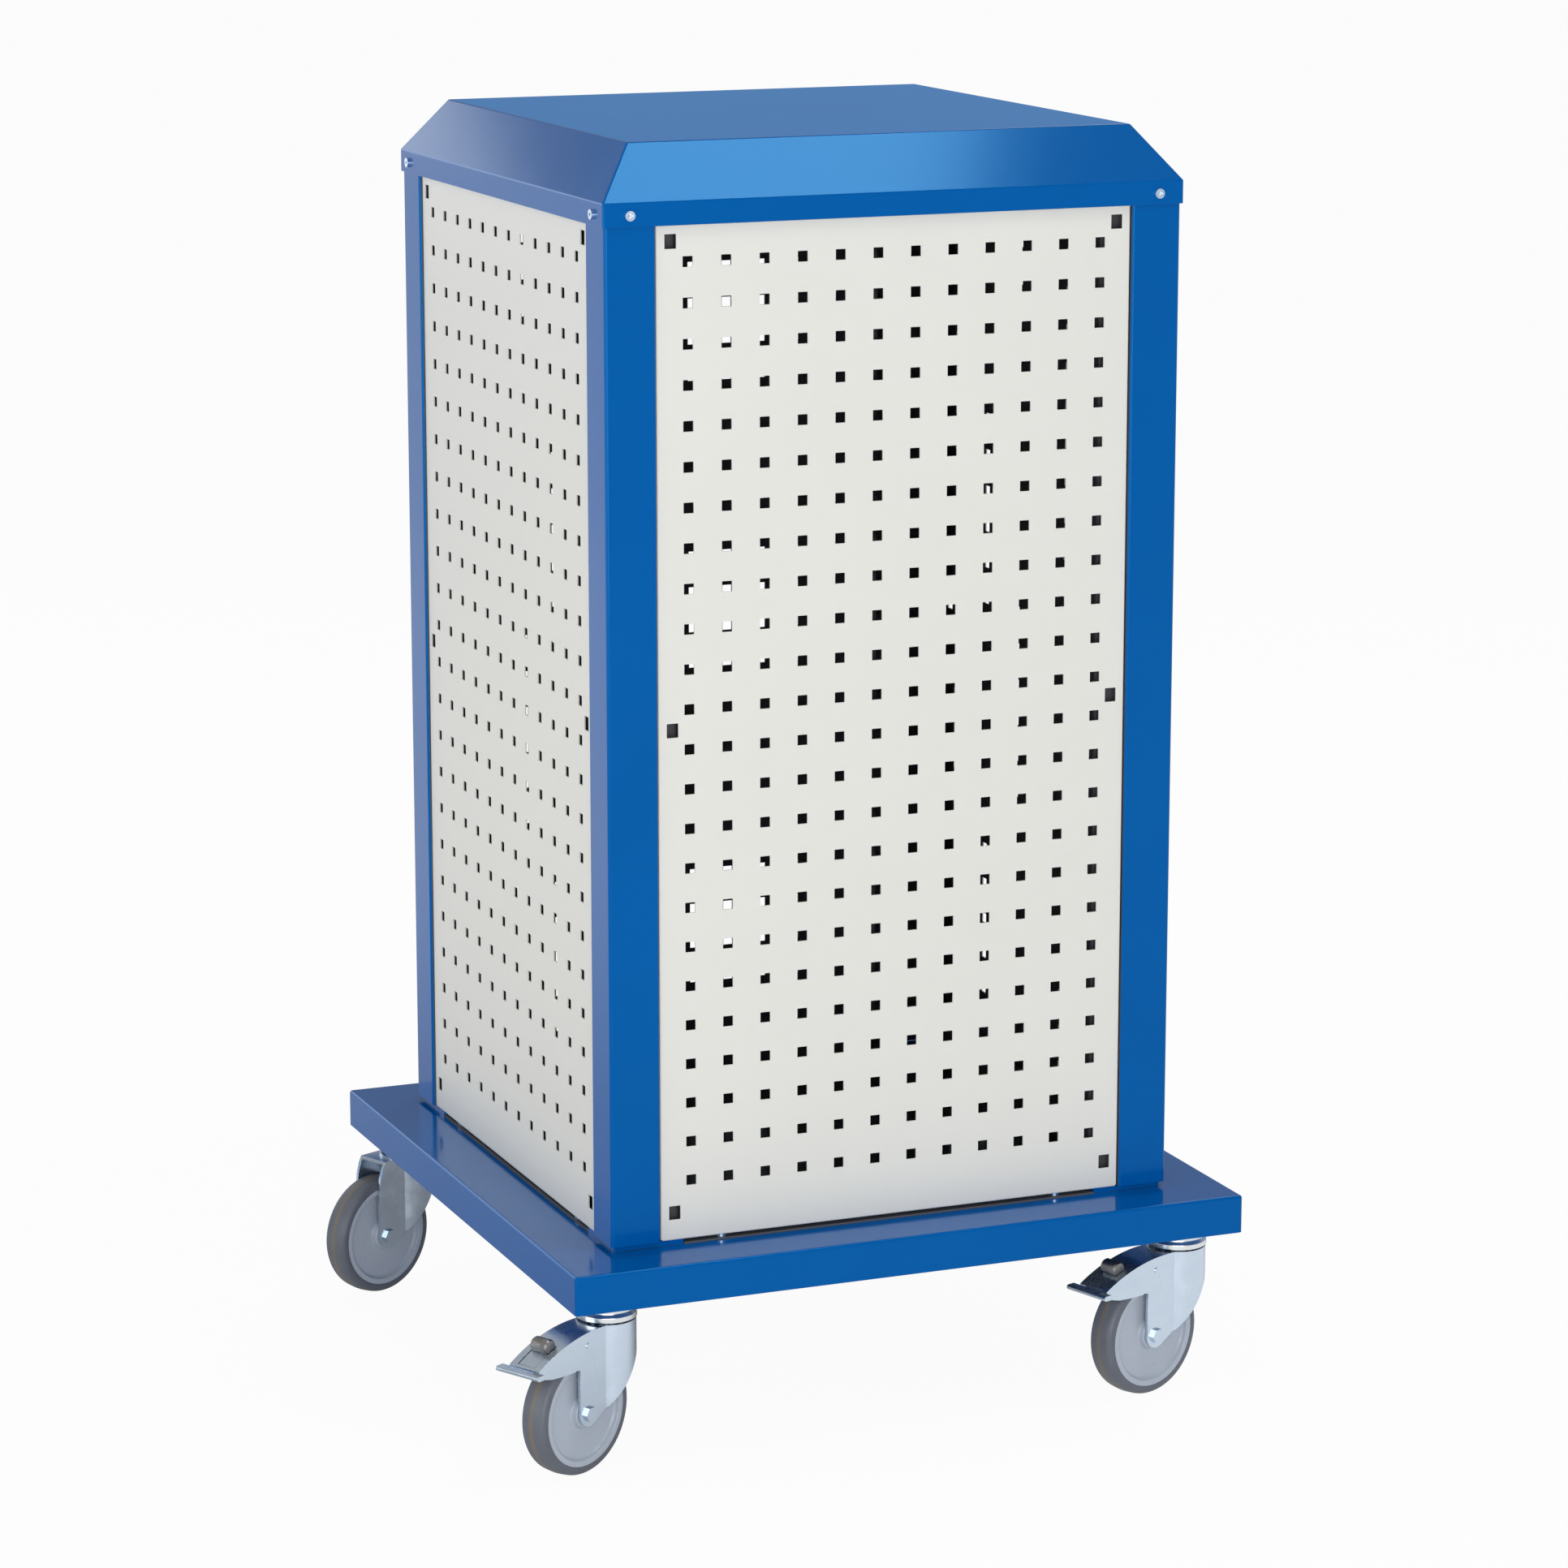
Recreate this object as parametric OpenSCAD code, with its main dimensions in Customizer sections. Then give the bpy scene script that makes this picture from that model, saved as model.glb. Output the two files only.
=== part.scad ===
// Four-sided perforated tool tower on a folded steel base with swivel castors.
// The origin lies on the floor under the middle of the tower; +Z is up and the front faces -Y.

/* [Tower] */
// Width and depth of the tower over its corner posts
tower_w = 583; // [520:1:680]
// Length of the corner posts
post_h = 986; // [860:1:1150]
// Width of each visible post face
post_face = 50; // [44:1:60]
// Steel thickness of the posts and rails
post_t = 2; // [1.5:0.1:3]
// Outer radius of the folded post corner
post_bend = 3; // [2.5:0.1:5]
// Width of the post flange that lies behind the panel edge
post_back_w = 25.5; // [23:0.5:26]
// Depth of the lip on the edge of that flange
post_lip = 15; // [10:1:20]
// Height of the bottom and top rails
rail_h = 45; // [35:1:52]
// Width of the stiffening flange along the top rail
top_flange_w = 20; // [12:1:30]

/* [Perforated panels] */
// How far the panels reach above the posts, inside the roof
panel_over = 4; // [0:0.5:5]
// Steel thickness of the panels
panel_t = 1.5; // [1:0.1:2]
// Depth of the folded edges of a panel
panel_fold = 14; // [10:0.5:18]
// How far the panel face lies behind the post face
panel_recess = 2.9; // [2:0.1:5]
// Gap between a panel edge and the post beside it
panel_gap = 1.3; // [0.8:0.1:3]
// Gap between the deck and the lower ends of the panels and posts
foot_gap = 5; // [4.8:0.1:8]
// Distance between hole centres
pitch = 38; // [30:1:50]
// Side of the square holes
hole = 10; // [6:0.5:14]
// Least distance from a panel's side edge to the first hole centre
col_margin = 30; // [28:1:40]
// Least distance from a panel's top or bottom edge to the first hole centre
row_margin = 57; // [50:1:70]
// Width of the six fixing holes
fix_w = 11.5; // [9:0.5:13]
// Height of the six fixing holes
fix_h = 13.5; // [10:0.5:18]
// Distance from a panel's side edge to the fixing hole centres
fix_inset = 14.2; // [12:0.1:16]
// Distance from the panel's top edge to the upper fixing holes
fix_top = 39; // [32:1:45]
// Distance from the panel's bottom edge to the lower fixing holes
fix_foot = 27; // [20:1:35]
// Distance from a panel's top or bottom edge to its outer hooks
hook_inset = 120; // [80:1:160]
// Thickness of the hooks behind the panels
hook_t = 2; // [1.5:0.5:3]
// Height of a hook's tongue
hook_h = 14; // [10:1:18]
// How far a hook reaches down behind the post flange
hook_drop = 10; // [6:1:14]

/* [Roof] */
// Height of the roof's upright skirt
skirt_h = 22; // [20:1:30]
// How far the skirt reaches down over the posts
skirt_lap = 20; // [17:0.5:20]
// Steel thickness of the roof
roof_t = 1.5; // [1:0.1:2]
// Gap between the skirt and the posts
roof_gap = 0.5; // [0.3:0.1:0.9]
// Horizontal run of the sloping sides
slope_run = 38.5; // [30:0.5:60]
// Rise of the sloping sides
slope_rise = 51.5; // [40:0.5:70]
// Distance from the post corner to the roof screws
screw_inset = 24; // [18:1:30]
// Height of the roof screws above the skirt's lower edge
screw_up = 10.5; // [8:0.5:12]
// Radius of the roof screw thread
screw_r = 2.5; // [2:0.5:3]
// Radius of the roof screw heads
screw_head_r = 4.75; // [4:0.25:6]
// Height of the roof screw heads
screw_head_h = 2.9; // [2:0.1:3.5]

/* [Base] */
// Width and depth of the base
base_w = 698; // [690:1:760]
// Height of the base's folded skirt
base_skirt = 38; // [34:1:50]
// Steel thickness of the base
base_t = 2.5; // [2:0.1:4]
// Outer radius of the base's folds
base_bend = 3; // [2.6:0.1:5]
// Gap between the castor channels and the base's side skirt
channel_side = 0.5; // [0.3:0.1:3]
// Steel thickness of those channels
channel_t = 3; // [2.5:0.5:5]
// Width of the lips along the top of the channels
channel_lip = 15; // [10:1:17]
// Gap between the channel ends and the base's skirt
channel_gap = 1.5; // [0.5:0.5:10]
// Thickness of the foot flange of the bottom rails
foot_t = 1.5; // [1:0.1:1.5]
// Gap between the foot flange's edge and the panel's face plane
foot_set_back = 1.3; // [0.5:0.1:2]
// How far the foot plates of the posts lie behind the post faces
plate_set_back = 4; // [3:0.5:8]
// Distance from the tower's middle to the base bolts
bolt_offset = 176; // [120:1:200]
// Radius of the base bolt thread
bolt_r = 3; // [2.5:0.5:3.5]
// Radius of the base bolt heads
bolt_head_r = 5.2; // [4.8:0.1:5.5]
// Height of the base bolt heads
bolt_head_h = 3; // [2:0.1:3.2]

/* [Castors] */
// Distance from the base's edges to the swivel axes
castor_inset = 48; // [46:0.5:50]
// Angle that the front left castor trails at, from the -X direction towards -Y
trail_front_left = 27.7; // [0:0.1:90]
// Angle that the front right castor trails at
trail_front_right = 18.6; // [0:0.1:90]
// Angle that the back left castor trails at
trail_back_left = 24.3; // [0:0.1:90]
// Angle that the back right castor trails at
trail_back_right = 22; // [0:0.1:90]
// Distance from the swivel axis to the wheel axle
trail = 45; // [42:0.5:48]
// Height of the swivel head between fork and base
head_h = 19.5; // [17:0.5:24]
// Outer radius of the swivel head
head_r = 29.5; // [28:0.5:32]
// Outer radius of the fork's round crown
crown_r = 28.7; // [27:0.1:30]
// Steel thickness of the fork
fork_t = 3; // [2:0.25:3.5]
// Gap between the wheel's hub and each fork cheek
wheel_play = 0.75; // [0.5:0.25:2]
// Gap between the wheel's top and the fork's crown plate
crown_gap = 16; // [15:0.5:20]
// Radius of the fork's lower ends round the axle
lug_r = 12.5; // [11:0.25:15]
// How far a plain fork's crown reaches past the swivel axis
crown_reach = 48; // [46:1:50]
// Radius of the kingpin sleeve inside the swivel head
kingpin_r = 11; // [10:0.5:11.5]
// Radius of the castor bolts
castor_bolt_r = 6; // [5:0.5:7]
// Radius of the bearing balls
ball_r = 3; // [2.5:0.1:3]
// Number of balls in a swivel bearing
ball_count = 12; // [8:1:14]

/* [Wheels] */
// Diameter of the wheels
wheel_d = 124; // [112:1:132]
// Width of the wheels over their hubs
wheel_w = 30; // [28:1:36]
// How far the hubs stand out on each side of the tread
hub_out = 0.5; // [0:0.25:1]
// Radius of the rounded tread shoulders
tread_round = 5; // [3:0.5:7]
// Radius of the wheel centre inside the tread
rim_r = 52.5; // [48:0.5:54]
// Width of the flat ring round the wheel centre's face
rim_ring = 6; // [4:0.5:8]
// Depth of the dish inside that ring
dish = 5; // [3:0.5:7]
// Width of the sloping edges of the dish
dish_draft = 2; // [1:0.5:3]
// How far that ring lies behind the tyre's side
rim_set_back = 0.3; // [0.2:0.1:1]
// Thickness of the bond between the tyre and the wheel centre
bond = 0.1; // [0.05:0.05:0.3]
// Radius of the hub
hub_r = 14; // [12:0.5:18]
// Outer radius of the axle tube
tube_r = 6; // [5.5:0.1:7]
// Radius of the axle bolt
axle_r = 4; // [3.5:0.5:5]
// Width across the flats of the axle bolt's head
axle_flats = 13; // [12:1:17]

/* [Brakes] */
// Radius of the curved arm over a braked wheel
arm_r = 172; // [160:1:200]
// Distance from the swivel axis to where that curve starts
arm_start = 30; // [26:1:34]
// Distance from the swivel axis to the arm's tip
arm_reach = 114.3; // [112:0.1:118]
// Height of the arm's underside below the crown's top
arm_depth = 35.3; // [33:0.1:37]
// Distance from the axle to the pedal's pivot along the arm
pivot_ahead = 1; // [0:0.5:3]
// Height of the pedal's pivot above the wheel's top
pivot_up = 5; // [5:0.1:7]
// Radius of the pivot pin
pivot_r = 2.25; // [2:0.25:2.5]
// Angle that the pedal travels when it is pressed
pedal_travel = 8; // [4:0.5:9]
// Width of the pedal lever inside the arm
lever_w = 30; // [24:1:30]
// Width of the pedal's blade across the arm's end
blade_w = 53; // [46:1:64]
// Distance from the pivot to the brake shoe's far edge
shoe_end = 38; // [34:0.5:40]
// Depth of the brake shoe below the pivot
shoe_depth = 16; // [12:0.5:18]
// Distance from the pivot to where the lever bends down
lever_knee = 42; // [41:0.5:46]
// Distance from the pivot to where the lever thins towards the blade
lever_end = 55; // [52:0.5:58]
// Depth of the blade
blade_d = 9.5; // [7:0.5:11]
// Thickness of the blade
blade_t = 5; // [4:0.5:6]
// Distance from the swivel axis to the release roller
roller_u = 88.5; // [86:0.5:91]
// Radius of the release roller
roller_r = 7.5; // [6:0.5:8]
// Length of the release roller
roller_w = 20; // [16:1:24]
// How far the roller's axis stands above the arm's surface
roller_up = 3.8; // [2:0.2:5]

/* [Clearances] */
// Radial clearance of turning parts
run_fit = 0.05; // [0.02:0.01:0.1]
// Radial clearance round bolts and screws
bolt_play = 0.25; // [0.1:0.05:0.4]
// Gap between a pressed brake and the tyre
brake_gap = 0.5; // [0.3:0.1:1]
// Gap round the pedal's pad in the arm's window
window_gap = 0.8; // [0.5:0.1:1.2]
// Gap between faces that turn past each other
face_gap = 0.3; // [0.2:0.05:0.5]

/* [Hidden] */
$fn = 64;
far = 400;

// Colours as the photograph shows them
blue = [0.0, 0.36, 0.66];
light_grey = [0.87, 0.87, 0.84];
zinc = [0.76, 0.80, 0.84];
steel = [0.62, 0.64, 0.66];
rubber = [0.40, 0.41, 0.44];
hub_grey = [0.66, 0.67, 0.73];

// Heights above the floor
wheel_r = wheel_d / 2;
crown_z = wheel_d + crown_gap + fork_t;
castor_h = crown_z + head_h;
deck_z = castor_h + base_skirt;
floor_top = castor_h + channel_t;
panel_z = deck_z + foot_gap;
post_top = panel_z + post_h;
skirt_z = post_top - skirt_lap;
screw_z = skirt_z + screw_up;
roof_h = skirt_h + slope_rise;

// Half widths and depths, where depth counts inwards from the post face
tower_half = tower_w / 2;
base_half = base_w / 2;
roof_half = tower_half + roof_gap + roof_t;
back_depth = panel_recess + panel_fold;
panel_h = post_h + panel_over;
channel_w = 2 * (castor_inset - base_t - channel_side);
tread_w = wheel_w - 2 * hub_out;
panel_w = tower_w - 2 * (post_face + panel_gap);
rail_w = tower_w - 2 * (post_face + post_back_w);
foot_w = back_depth - panel_recess - foot_set_back;
bolt_depth = back_depth - foot_w / 2;
castor_axis = base_half - castor_inset;
cols = floor((panel_w - 2 * col_margin) / pitch) + 1;
rows = floor((panel_h - 2 * row_margin) / pitch) + 1;

// Castors in the order front left, front right, back left, back right
castor_side = [[-1, -1], [1, -1], [-1, 1], [1, 1]];
castor_trail = [trail_front_left, trail_front_right, trail_back_left, trail_back_right];
has_brake = [true, true, false, false];

// Fork sizes, where u counts from the swivel axis towards the axle
fork_gap = wheel_w + 2 * wheel_play;
fork_half = fork_gap / 2 + fork_t;
leg_u = trail + lug_r - 0.5;
cheek_low = [20, wheel_r + 1];
cheek_mid = [4, wheel_r + 19.5];
cheek_rise = [-12, wheel_r + 40.5];
back_wall_z = crown_z - 22;
arm_under = crown_z - arm_depth;
arm_centre = [arm_start, crown_z - arm_r];
notch_r = 4.5;
pivot = [trail + pivot_ahead, wheel_d + pivot_up];
axle_at = [trail, wheel_r];
roller_at = [roller_u, arm_height(roller_u) + roller_up];
blade_at = [arm_reach + 0.9, arm_under + 10];
pad_start = roller_u - roller_r;
pad_end = arm_reach - 3.6;
hub_eye = 4.4;
race_r = (kingpin_r + head_r - fork_t) / 2;
sleeve_flange_r = kingpin_r + 4;
sleeve_foot = crown_z - 2 * fork_t - face_gap;
castor_nut_h = 7;
castor_nut_w = 18;
castor_head_h = 7.5;

// Height of the brake arm's surface at a distance u from the swivel axis
function arm_height(u) = arm_centre[1] + sqrt(arm_r * arm_r - pow(u - arm_centre[0], 2));

// Lower tangent point on a circle (centre c, radius r) of a line from p
function tangent_point(p, c, r) =
    let (d = norm(c - p), a = atan2(c[1] - p[1], c[0] - p[0]) - asin(r / d))
    p + sqrt(d * d - r * r) * [cos(a), sin(a)];

// Turns a piece drawn for the front to side k, in the order front, right, back, left
module on_side(k) {
    rotate([0, 0, 90 * k]) children();
}

// Stands a piece drawn in castor axes (u, across, height) at castor i
module at_castor(i) {
    translate([castor_side[i][0] * castor_axis, castor_side[i][1] * castor_axis, 0])
        rotate([0, 0, 180 + castor_trail[i]])
            children();
}

// Extrudes a side view (u, height) across the castor, centred, to a width
module across(w) {
    translate([0, w / 2, 0]) rotate([90, 0, 0]) linear_extrude(w) children();
}

// Lays a cylinder across the castor at a point (u, height)
module cross_pin(at, r, w) {
    translate([at[0], w / 2, at[1]]) rotate([90, 0, 0]) cylinder(r = r, h = w);
}

// Hexagon prism with a given width across flats
module hexagon(flats, h) {
    cylinder(r = flats / 2 / cos(30), h = h, $fn = 6);
}

// Square plate with rounded upright corners
module rounded_square(w, r) {
    for (a = [0, 90]) rotate(a) square([w, w - 2 * r], center = true);
    for (x = [-1, 1], y = [-1, 1]) translate([x * (w / 2 - r), y * (w / 2 - r)]) circle(r);
}

// Block with rounded upright edges and rounded top edges, standing on z = 0
module folded_block(w, h, r) {
    straight = w - 2 * r;
    linear_extrude(h - r) rounded_square(w, r);
    translate([-straight / 2, -straight / 2, 0]) cube([straight, straight, h]);
    for (k = [0:3]) rotate([0, 0, 90 * k]) {
        translate([-straight / 2, straight / 2, h - r]) rotate([0, 90, 0]) cylinder(r = r, h = straight);
        translate([straight / 2, straight / 2, h - r]) sphere(r);
    }
}

// Base: one deep-drawn looking tray, open below, that the tower and the castors are fixed to
module base_tray() {
    color(blue)
        translate([0, 0, castor_h])
            difference() {
                folded_block(base_w, base_skirt, base_bend);
                translate([-base_half + base_t, -base_half + base_t, -1])
                    cube([base_w - 2 * base_t, base_w - 2 * base_t, base_skirt - base_t + 1]);
                for (k = [0:3], x = [-bolt_offset, bolt_offset]) on_side(k)
                    translate([x, -tower_half + bolt_depth, 0])
                        cylinder(r = bolt_r + bolt_play, h = base_skirt + 1);
            }
}

// Lipped channel under the deck that carries the two castors of one side
module castor_channel(side) {
    h = base_skirt - base_t;
    length = base_w - 2 * (base_t + channel_gap);
    color(blue)
        difference() {
            translate([side * castor_axis, length / 2, castor_h])
                rotate([90, 0, 0])
                    linear_extrude(length)
                        difference() {
                            translate([-channel_w / 2, 0]) square([channel_w, h]);
                            translate([-channel_w / 2 + channel_t, channel_t])
                                square([channel_w - 2 * channel_t, h - 2 * channel_t]);
                            translate([-channel_w / 2 + channel_lip, channel_t])
                                square([channel_w - 2 * channel_lip, h]);
                        }
            for (y = [-castor_axis, castor_axis])
                translate([side * castor_axis, y, castor_h - 1])
                    cylinder(r = castor_bolt_r + bolt_play, h = channel_t + 2);
        }
}

// One leg of the folded post section, along +X from the post's corner
module post_leg() {
    translate([post_bend, 0]) square([post_face - post_bend, post_t]);
    translate([post_face - post_t, 0]) square([post_t, back_depth + post_t]);
    translate([post_face - post_t, back_depth]) square([post_back_w + post_t, post_t]);
    translate([post_face + post_back_w - post_t, back_depth]) square([post_t, post_lip]);
}

// Full post section, with the corner at the origin
module post_section() {
    post_leg();
    mirror([1, -1]) post_leg();
    intersection() {
        translate([post_bend, post_bend]) difference() {
            circle(post_bend);
            circle(post_bend - post_t);
        }
        square(post_bend);
    }
}

// Foot plate under a post, set back from its faces, with the corner at the origin
module foot_plate() {
    translate([plate_set_back, plate_set_back])
        square(post_face + post_back_w - plate_set_back);
}

// Heights of a panel's hooks above the floor
hook_zs = [panel_z + hook_inset, panel_z + panel_h / 2, panel_z + panel_h - hook_inset];

// Distance from the tower's middle to the hooks of one panel edge
hook_x = panel_w / 2 - panel_t - hook_t / 2;

// What a front panel's right edge needs in the post: hook slots and the roof screw's hole
module post_cuts() {
    for (z = hook_zs)
        translate([hook_x - hook_t, -tower_half + back_depth - 1, z])
            cube([2 * hook_t, post_t + 2, hook_h + hook_drop + 2]);
    translate([tower_half - screw_inset, -tower_half - 1, screw_z])
        rotate([-90, 0, 0])
            cylinder(r = screw_r + bolt_play, h = post_t + 2);
}

// Corner post, drawn for the front right corner and turned to corner k
module corner_post(k) {
    color(blue)
        on_side(k)
            difference() {
                translate([tower_half, -tower_half, panel_z]) {
                    linear_extrude(post_h) rotate(90) post_section();
                    translate([0, 0, -foot_gap]) linear_extrude(foot_gap) rotate(90) foot_plate();
                }
                post_cuts();
                on_side(1) mirror([1, 0, 0]) post_cuts();
            }
}

// Bottom rail between two posts, with a foot flange that is bolted to the deck
module bottom_rail(k) {
    color(blue)
        on_side(k)
            translate([-rail_w / 2, -tower_half, deck_z])
                difference() {
                    union() {
                        translate([0, back_depth, 0]) cube([rail_w, post_t, rail_h]);
                        translate([0, back_depth - foot_w, 0]) cube([rail_w, foot_w, foot_t]);
                    }
                    for (x = [-bolt_offset, bolt_offset])
                        translate([rail_w / 2 + x, bolt_depth, -1])
                            cylinder(r = bolt_r + bolt_play, h = foot_t + 2);
                }
}

// Top rail between two posts, folded inwards along its upper edge
module top_rail(k) {
    color(blue)
        on_side(k)
            translate([-rail_w / 2, -tower_half + back_depth, post_top - rail_h]) {
                cube([rail_w, post_t, rail_h]);
                translate([0, 0, rail_h - post_t]) cube([rail_w, top_flange_w, post_t]);
            }
}

// All holes of a panel, drawn round the panel's middle
module panel_holes() {
    for (i = [0:cols - 1], j = [0:rows - 1])
        translate([(i - (cols - 1) / 2) * pitch, (j - (rows - 1) / 2) * pitch])
            square(hole, center = true);
    for (x = [-1, 1], y = [panel_h / 2 - fix_top, 0, fix_foot - panel_h / 2])
        translate([x * (panel_w / 2 - fix_inset), y])
            square([fix_w, fix_h], center = true);
}

// Perforated panel with folded edges that rest against the post flanges
module panel(k) {
    color(light_grey)
        on_side(k)
            translate([0, -tower_half + panel_recess, panel_z + panel_h / 2]) {
                translate([0, panel_t, 0]) rotate([90, 0, 0]) linear_extrude(panel_t)
                    difference() {
                        square([panel_w, panel_h], center = true);
                        panel_holes();
                    }
                translate([0, panel_fold, 0]) rotate([90, 0, 0]) linear_extrude(panel_fold)
                    difference() {
                        square([panel_w, panel_h], center = true);
                        square([panel_w - 2 * panel_t, panel_h - 2 * panel_t], center = true);
                    }
            }
}

// Side view of a hook: depth from the panel's face, and height from its seat
module hook_side() {
    start = panel_t;
    behind = panel_fold + post_t + run_fit;
    translate([start, 0]) square([behind + hook_t - start, hook_h]);
    translate([behind, -hook_drop]) square([hook_t, hook_drop + hook_h]);
}

// Hooks welded behind the panels, which hang in the slots of the posts
module panel_hooks() {
    color(steel)
        for (k = [0:3], x = [-hook_x, hook_x], z = hook_zs) on_side(k)
            translate([x - hook_t / 2, -tower_half + panel_recess, z])
                rotate([90, 0, 90])
                    linear_extrude(hook_t)
                        hook_side();
}

// Side view of the roof, or of the space inside it when it is drawn a thickness t smaller
module roof_outline(t) {
    slope = atan2(slope_rise, slope_run);
    half = roof_half - t;
    shoulder = skirt_h - t * tan((90 - slope) / 2);
    ridge = roof_half - slope_run - t * tan(slope / 2);
    polygon([
        [-half, 0], [half, 0], [half, shoulder],
        [ridge, roof_h - t], [-ridge, roof_h - t], [-half, shoulder],
    ]);
}

// Hipped roof form: two side views crossed
module roof_form(t) {
    intersection_for(k = [0, 1])
        rotate([90, 0, 90 * k])
            translate([0, 0, -far])
                linear_extrude(2 * far) roof_outline(t);
}

// Folded roof cap with mitred corners
module roof_cap() {
    color(blue)
        translate([0, 0, skirt_z])
            difference() {
                roof_form(0);
                difference() {
                    roof_form(roof_t);
                    translate([-far, -far, -2]) cube([2 * far, 2 * far, 1]);
                }
                for (k = [0:3], x = [-1, 1]) on_side(k)
                    translate([x * (tower_half - screw_inset), -roof_half - 1, screw_up])
                        rotate([-90, 0, 0])
                            cylinder(r = screw_r + bolt_play, h = roof_t + 2);
            }
}

// Pan-head screw with a cross recess and its nut, along +Y from the head's seat
module roof_screw() {
    grip = roof_t + roof_gap + post_t;
    nut_h = 4;
    recess = 1.2;
    rotate([-90, 0, 0]) {
        difference() {
            translate([0, 0, -screw_head_h]) cylinder(r = screw_head_r, h = screw_head_h);
            for (a = [0, 90]) rotate([0, 0, a])
                translate([-screw_head_r / 2, -recess / 2, -screw_head_h - 1])
                    cube([screw_head_r, recess, screw_head_h]);
        }
        cylinder(r = screw_r, h = grip + nut_h + 2);
    }
    translate([0, grip, 0]) rotate([-90, 0, 0]) difference() {
        hexagon(8, nut_h);
        translate([0, 0, -1]) cylinder(r = screw_r, h = nut_h + 2);
    }
}

// Two screws on each side of the roof
module roof_screws() {
    color(zinc)
        for (k = [0:3], x = [-1, 1]) on_side(k)
            translate([x * (tower_half - screw_inset), -roof_half, screw_z])
                roof_screw();
}

// Low-head bolt with its nut, head up, with its seat at z = 0
module base_bolt() {
    grip = foot_t + base_t;
    nut_h = 5;
    difference() {
        union() {
            cylinder(r = bolt_head_r, h = bolt_head_h);
            translate([0, 0, -grip - nut_h - 2]) cylinder(r = bolt_r, h = grip + nut_h + 3);
        }
        translate([0, 0, bolt_head_h / 2]) hexagon(4, bolt_head_h);
    }
    translate([0, 0, -grip - nut_h]) difference() {
        hexagon(10, nut_h);
        translate([0, 0, -1]) cylinder(r = bolt_r, h = nut_h + 2);
    }
}

// Two bolts on each side that hold the bottom rails on the deck
module base_bolts() {
    color(zinc)
        for (k = [0:3], x = [-bolt_offset, bolt_offset]) on_side(k)
            translate([x, -tower_half + bolt_depth, deck_z + foot_t])
                base_bolt();
}

// Bolts through the channels and the hollow kingpins, with their nuts below the crowns
module castor_bolts() {
    color(zinc)
        for (i = [0:3]) at_castor(i) {
            translate([0, 0, floor_top]) hexagon(castor_nut_w, castor_head_h);
            translate([0, 0, sleeve_foot - castor_nut_h - 2])
                cylinder(r = castor_bolt_r, h = floor_top - sleeve_foot + castor_nut_h + 2.5);
            translate([0, 0, sleeve_foot - castor_nut_h]) difference() {
                hexagon(castor_nut_w, castor_nut_h);
                translate([0, 0, -1]) cylinder(r = castor_bolt_r, h = castor_nut_h + 2);
            }
        }
}

// Fixed upper race with its skirt and kingpin sleeve, all turned round the swivel axis
module swivel_head(i) {
    race_z = crown_z + 2 * ball_r + face_gap;
    color(zinc)
        at_castor(i)
            difference() {
                union() {
                    translate([0, 0, race_z]) cylinder(r = head_r, h = castor_h - race_z);
                    translate([0, 0, crown_z + 1]) difference() {
                        cylinder(r = head_r, h = race_z - crown_z);
                        translate([0, 0, -1]) cylinder(r = head_r - fork_t, h = race_z - crown_z);
                    }
                    translate([0, 0, sleeve_foot]) cylinder(r = kingpin_r, h = castor_h - sleeve_foot);
                    translate([0, 0, sleeve_foot]) cylinder(r = sleeve_flange_r, h = fork_t);
                }
                translate([0, 0, sleeve_foot - 1])
                    cylinder(r = castor_bolt_r + bolt_play, h = castor_h - sleeve_foot + 2);
            }
}

// Balls that carry the swivel head on the fork's crown
module ball_ring(i) {
    color(steel)
        at_castor(i)
            for (k = [0:ball_count - 1])
                rotate([0, 0, 360 / ball_count * k])
                    translate([race_r, 0, crown_z + ball_r])
                        sphere(ball_r);
}

// Side view of one cheek: round lug, straight leg and slanting back edge
module cheek_side() {
    low = tangent_point(cheek_low, axle_at, lug_r);
    translate(axle_at) circle(lug_r);
    polygon([
        [-crown_r - 1, crown_z + 1], [-crown_r - 1, back_wall_z],
        cheek_rise, cheek_mid, cheek_low, low, axle_at,
        [leg_u, wheel_r + 3.5], [leg_u + 0.5, wheel_r + 30], [leg_u, arm_under + 1.5],
        [leg_u - 1.5, crown_z - 18], [leg_u - 5.3, crown_z - 6], [crown_reach, crown_z + 1],
    ]);
}

// Side view of the arm that reaches over a braked wheel
module arm_side() {
    difference() {
        polygon([
            [crown_reach - 20, crown_z + 1], [crown_reach - 20, arm_under], [arm_reach - 34, arm_under],
            [arm_reach - 18, arm_under + 1.2], [arm_reach - 8.3, arm_under + 3.5],
            [arm_reach - 4.8, arm_under + 5.6], [arm_reach - 1.6, arm_under + 9.6],
            [arm_reach, arm_under + 13], [arm_reach, crown_z + 1],
        ]);
        translate([leg_u + notch_r, arm_under - 3.7]) circle(notch_r);
    }
}

// Region below the crown line: flat over the swivel axis, then curved down along the arm
module under_crown(t) {
    translate([-2 * crown_r, -1]) square([2 * crown_r + arm_start, crown_z - t + 1]);
    translate(arm_centre) circle(arm_r - t, $fn = 256);
}

// Region below the crown of a plain fork
module under_flat_crown(t) {
    translate([-2 * crown_r, -1]) square([2 * crown_r + leg_u + 20, crown_z - t + 1]);
}

// Plan of the fork: a round crown with two straight cheeks, drawn a thickness t smaller
module fork_plan(t, reach) {
    circle(crown_r - t);
    translate([0, -fork_half + t]) square([reach, 2 * (fork_half - t)]);
}

// Opening through the arm from u0 to u1 with a half width w, plus its gap at both ends
module window(u0, u1, w) {
    translate([u0 - window_gap, -w, arm_under + 6])
        cube([u1 - u0 + 2 * window_gap, 2 * w, arm_depth]);
}

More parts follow.
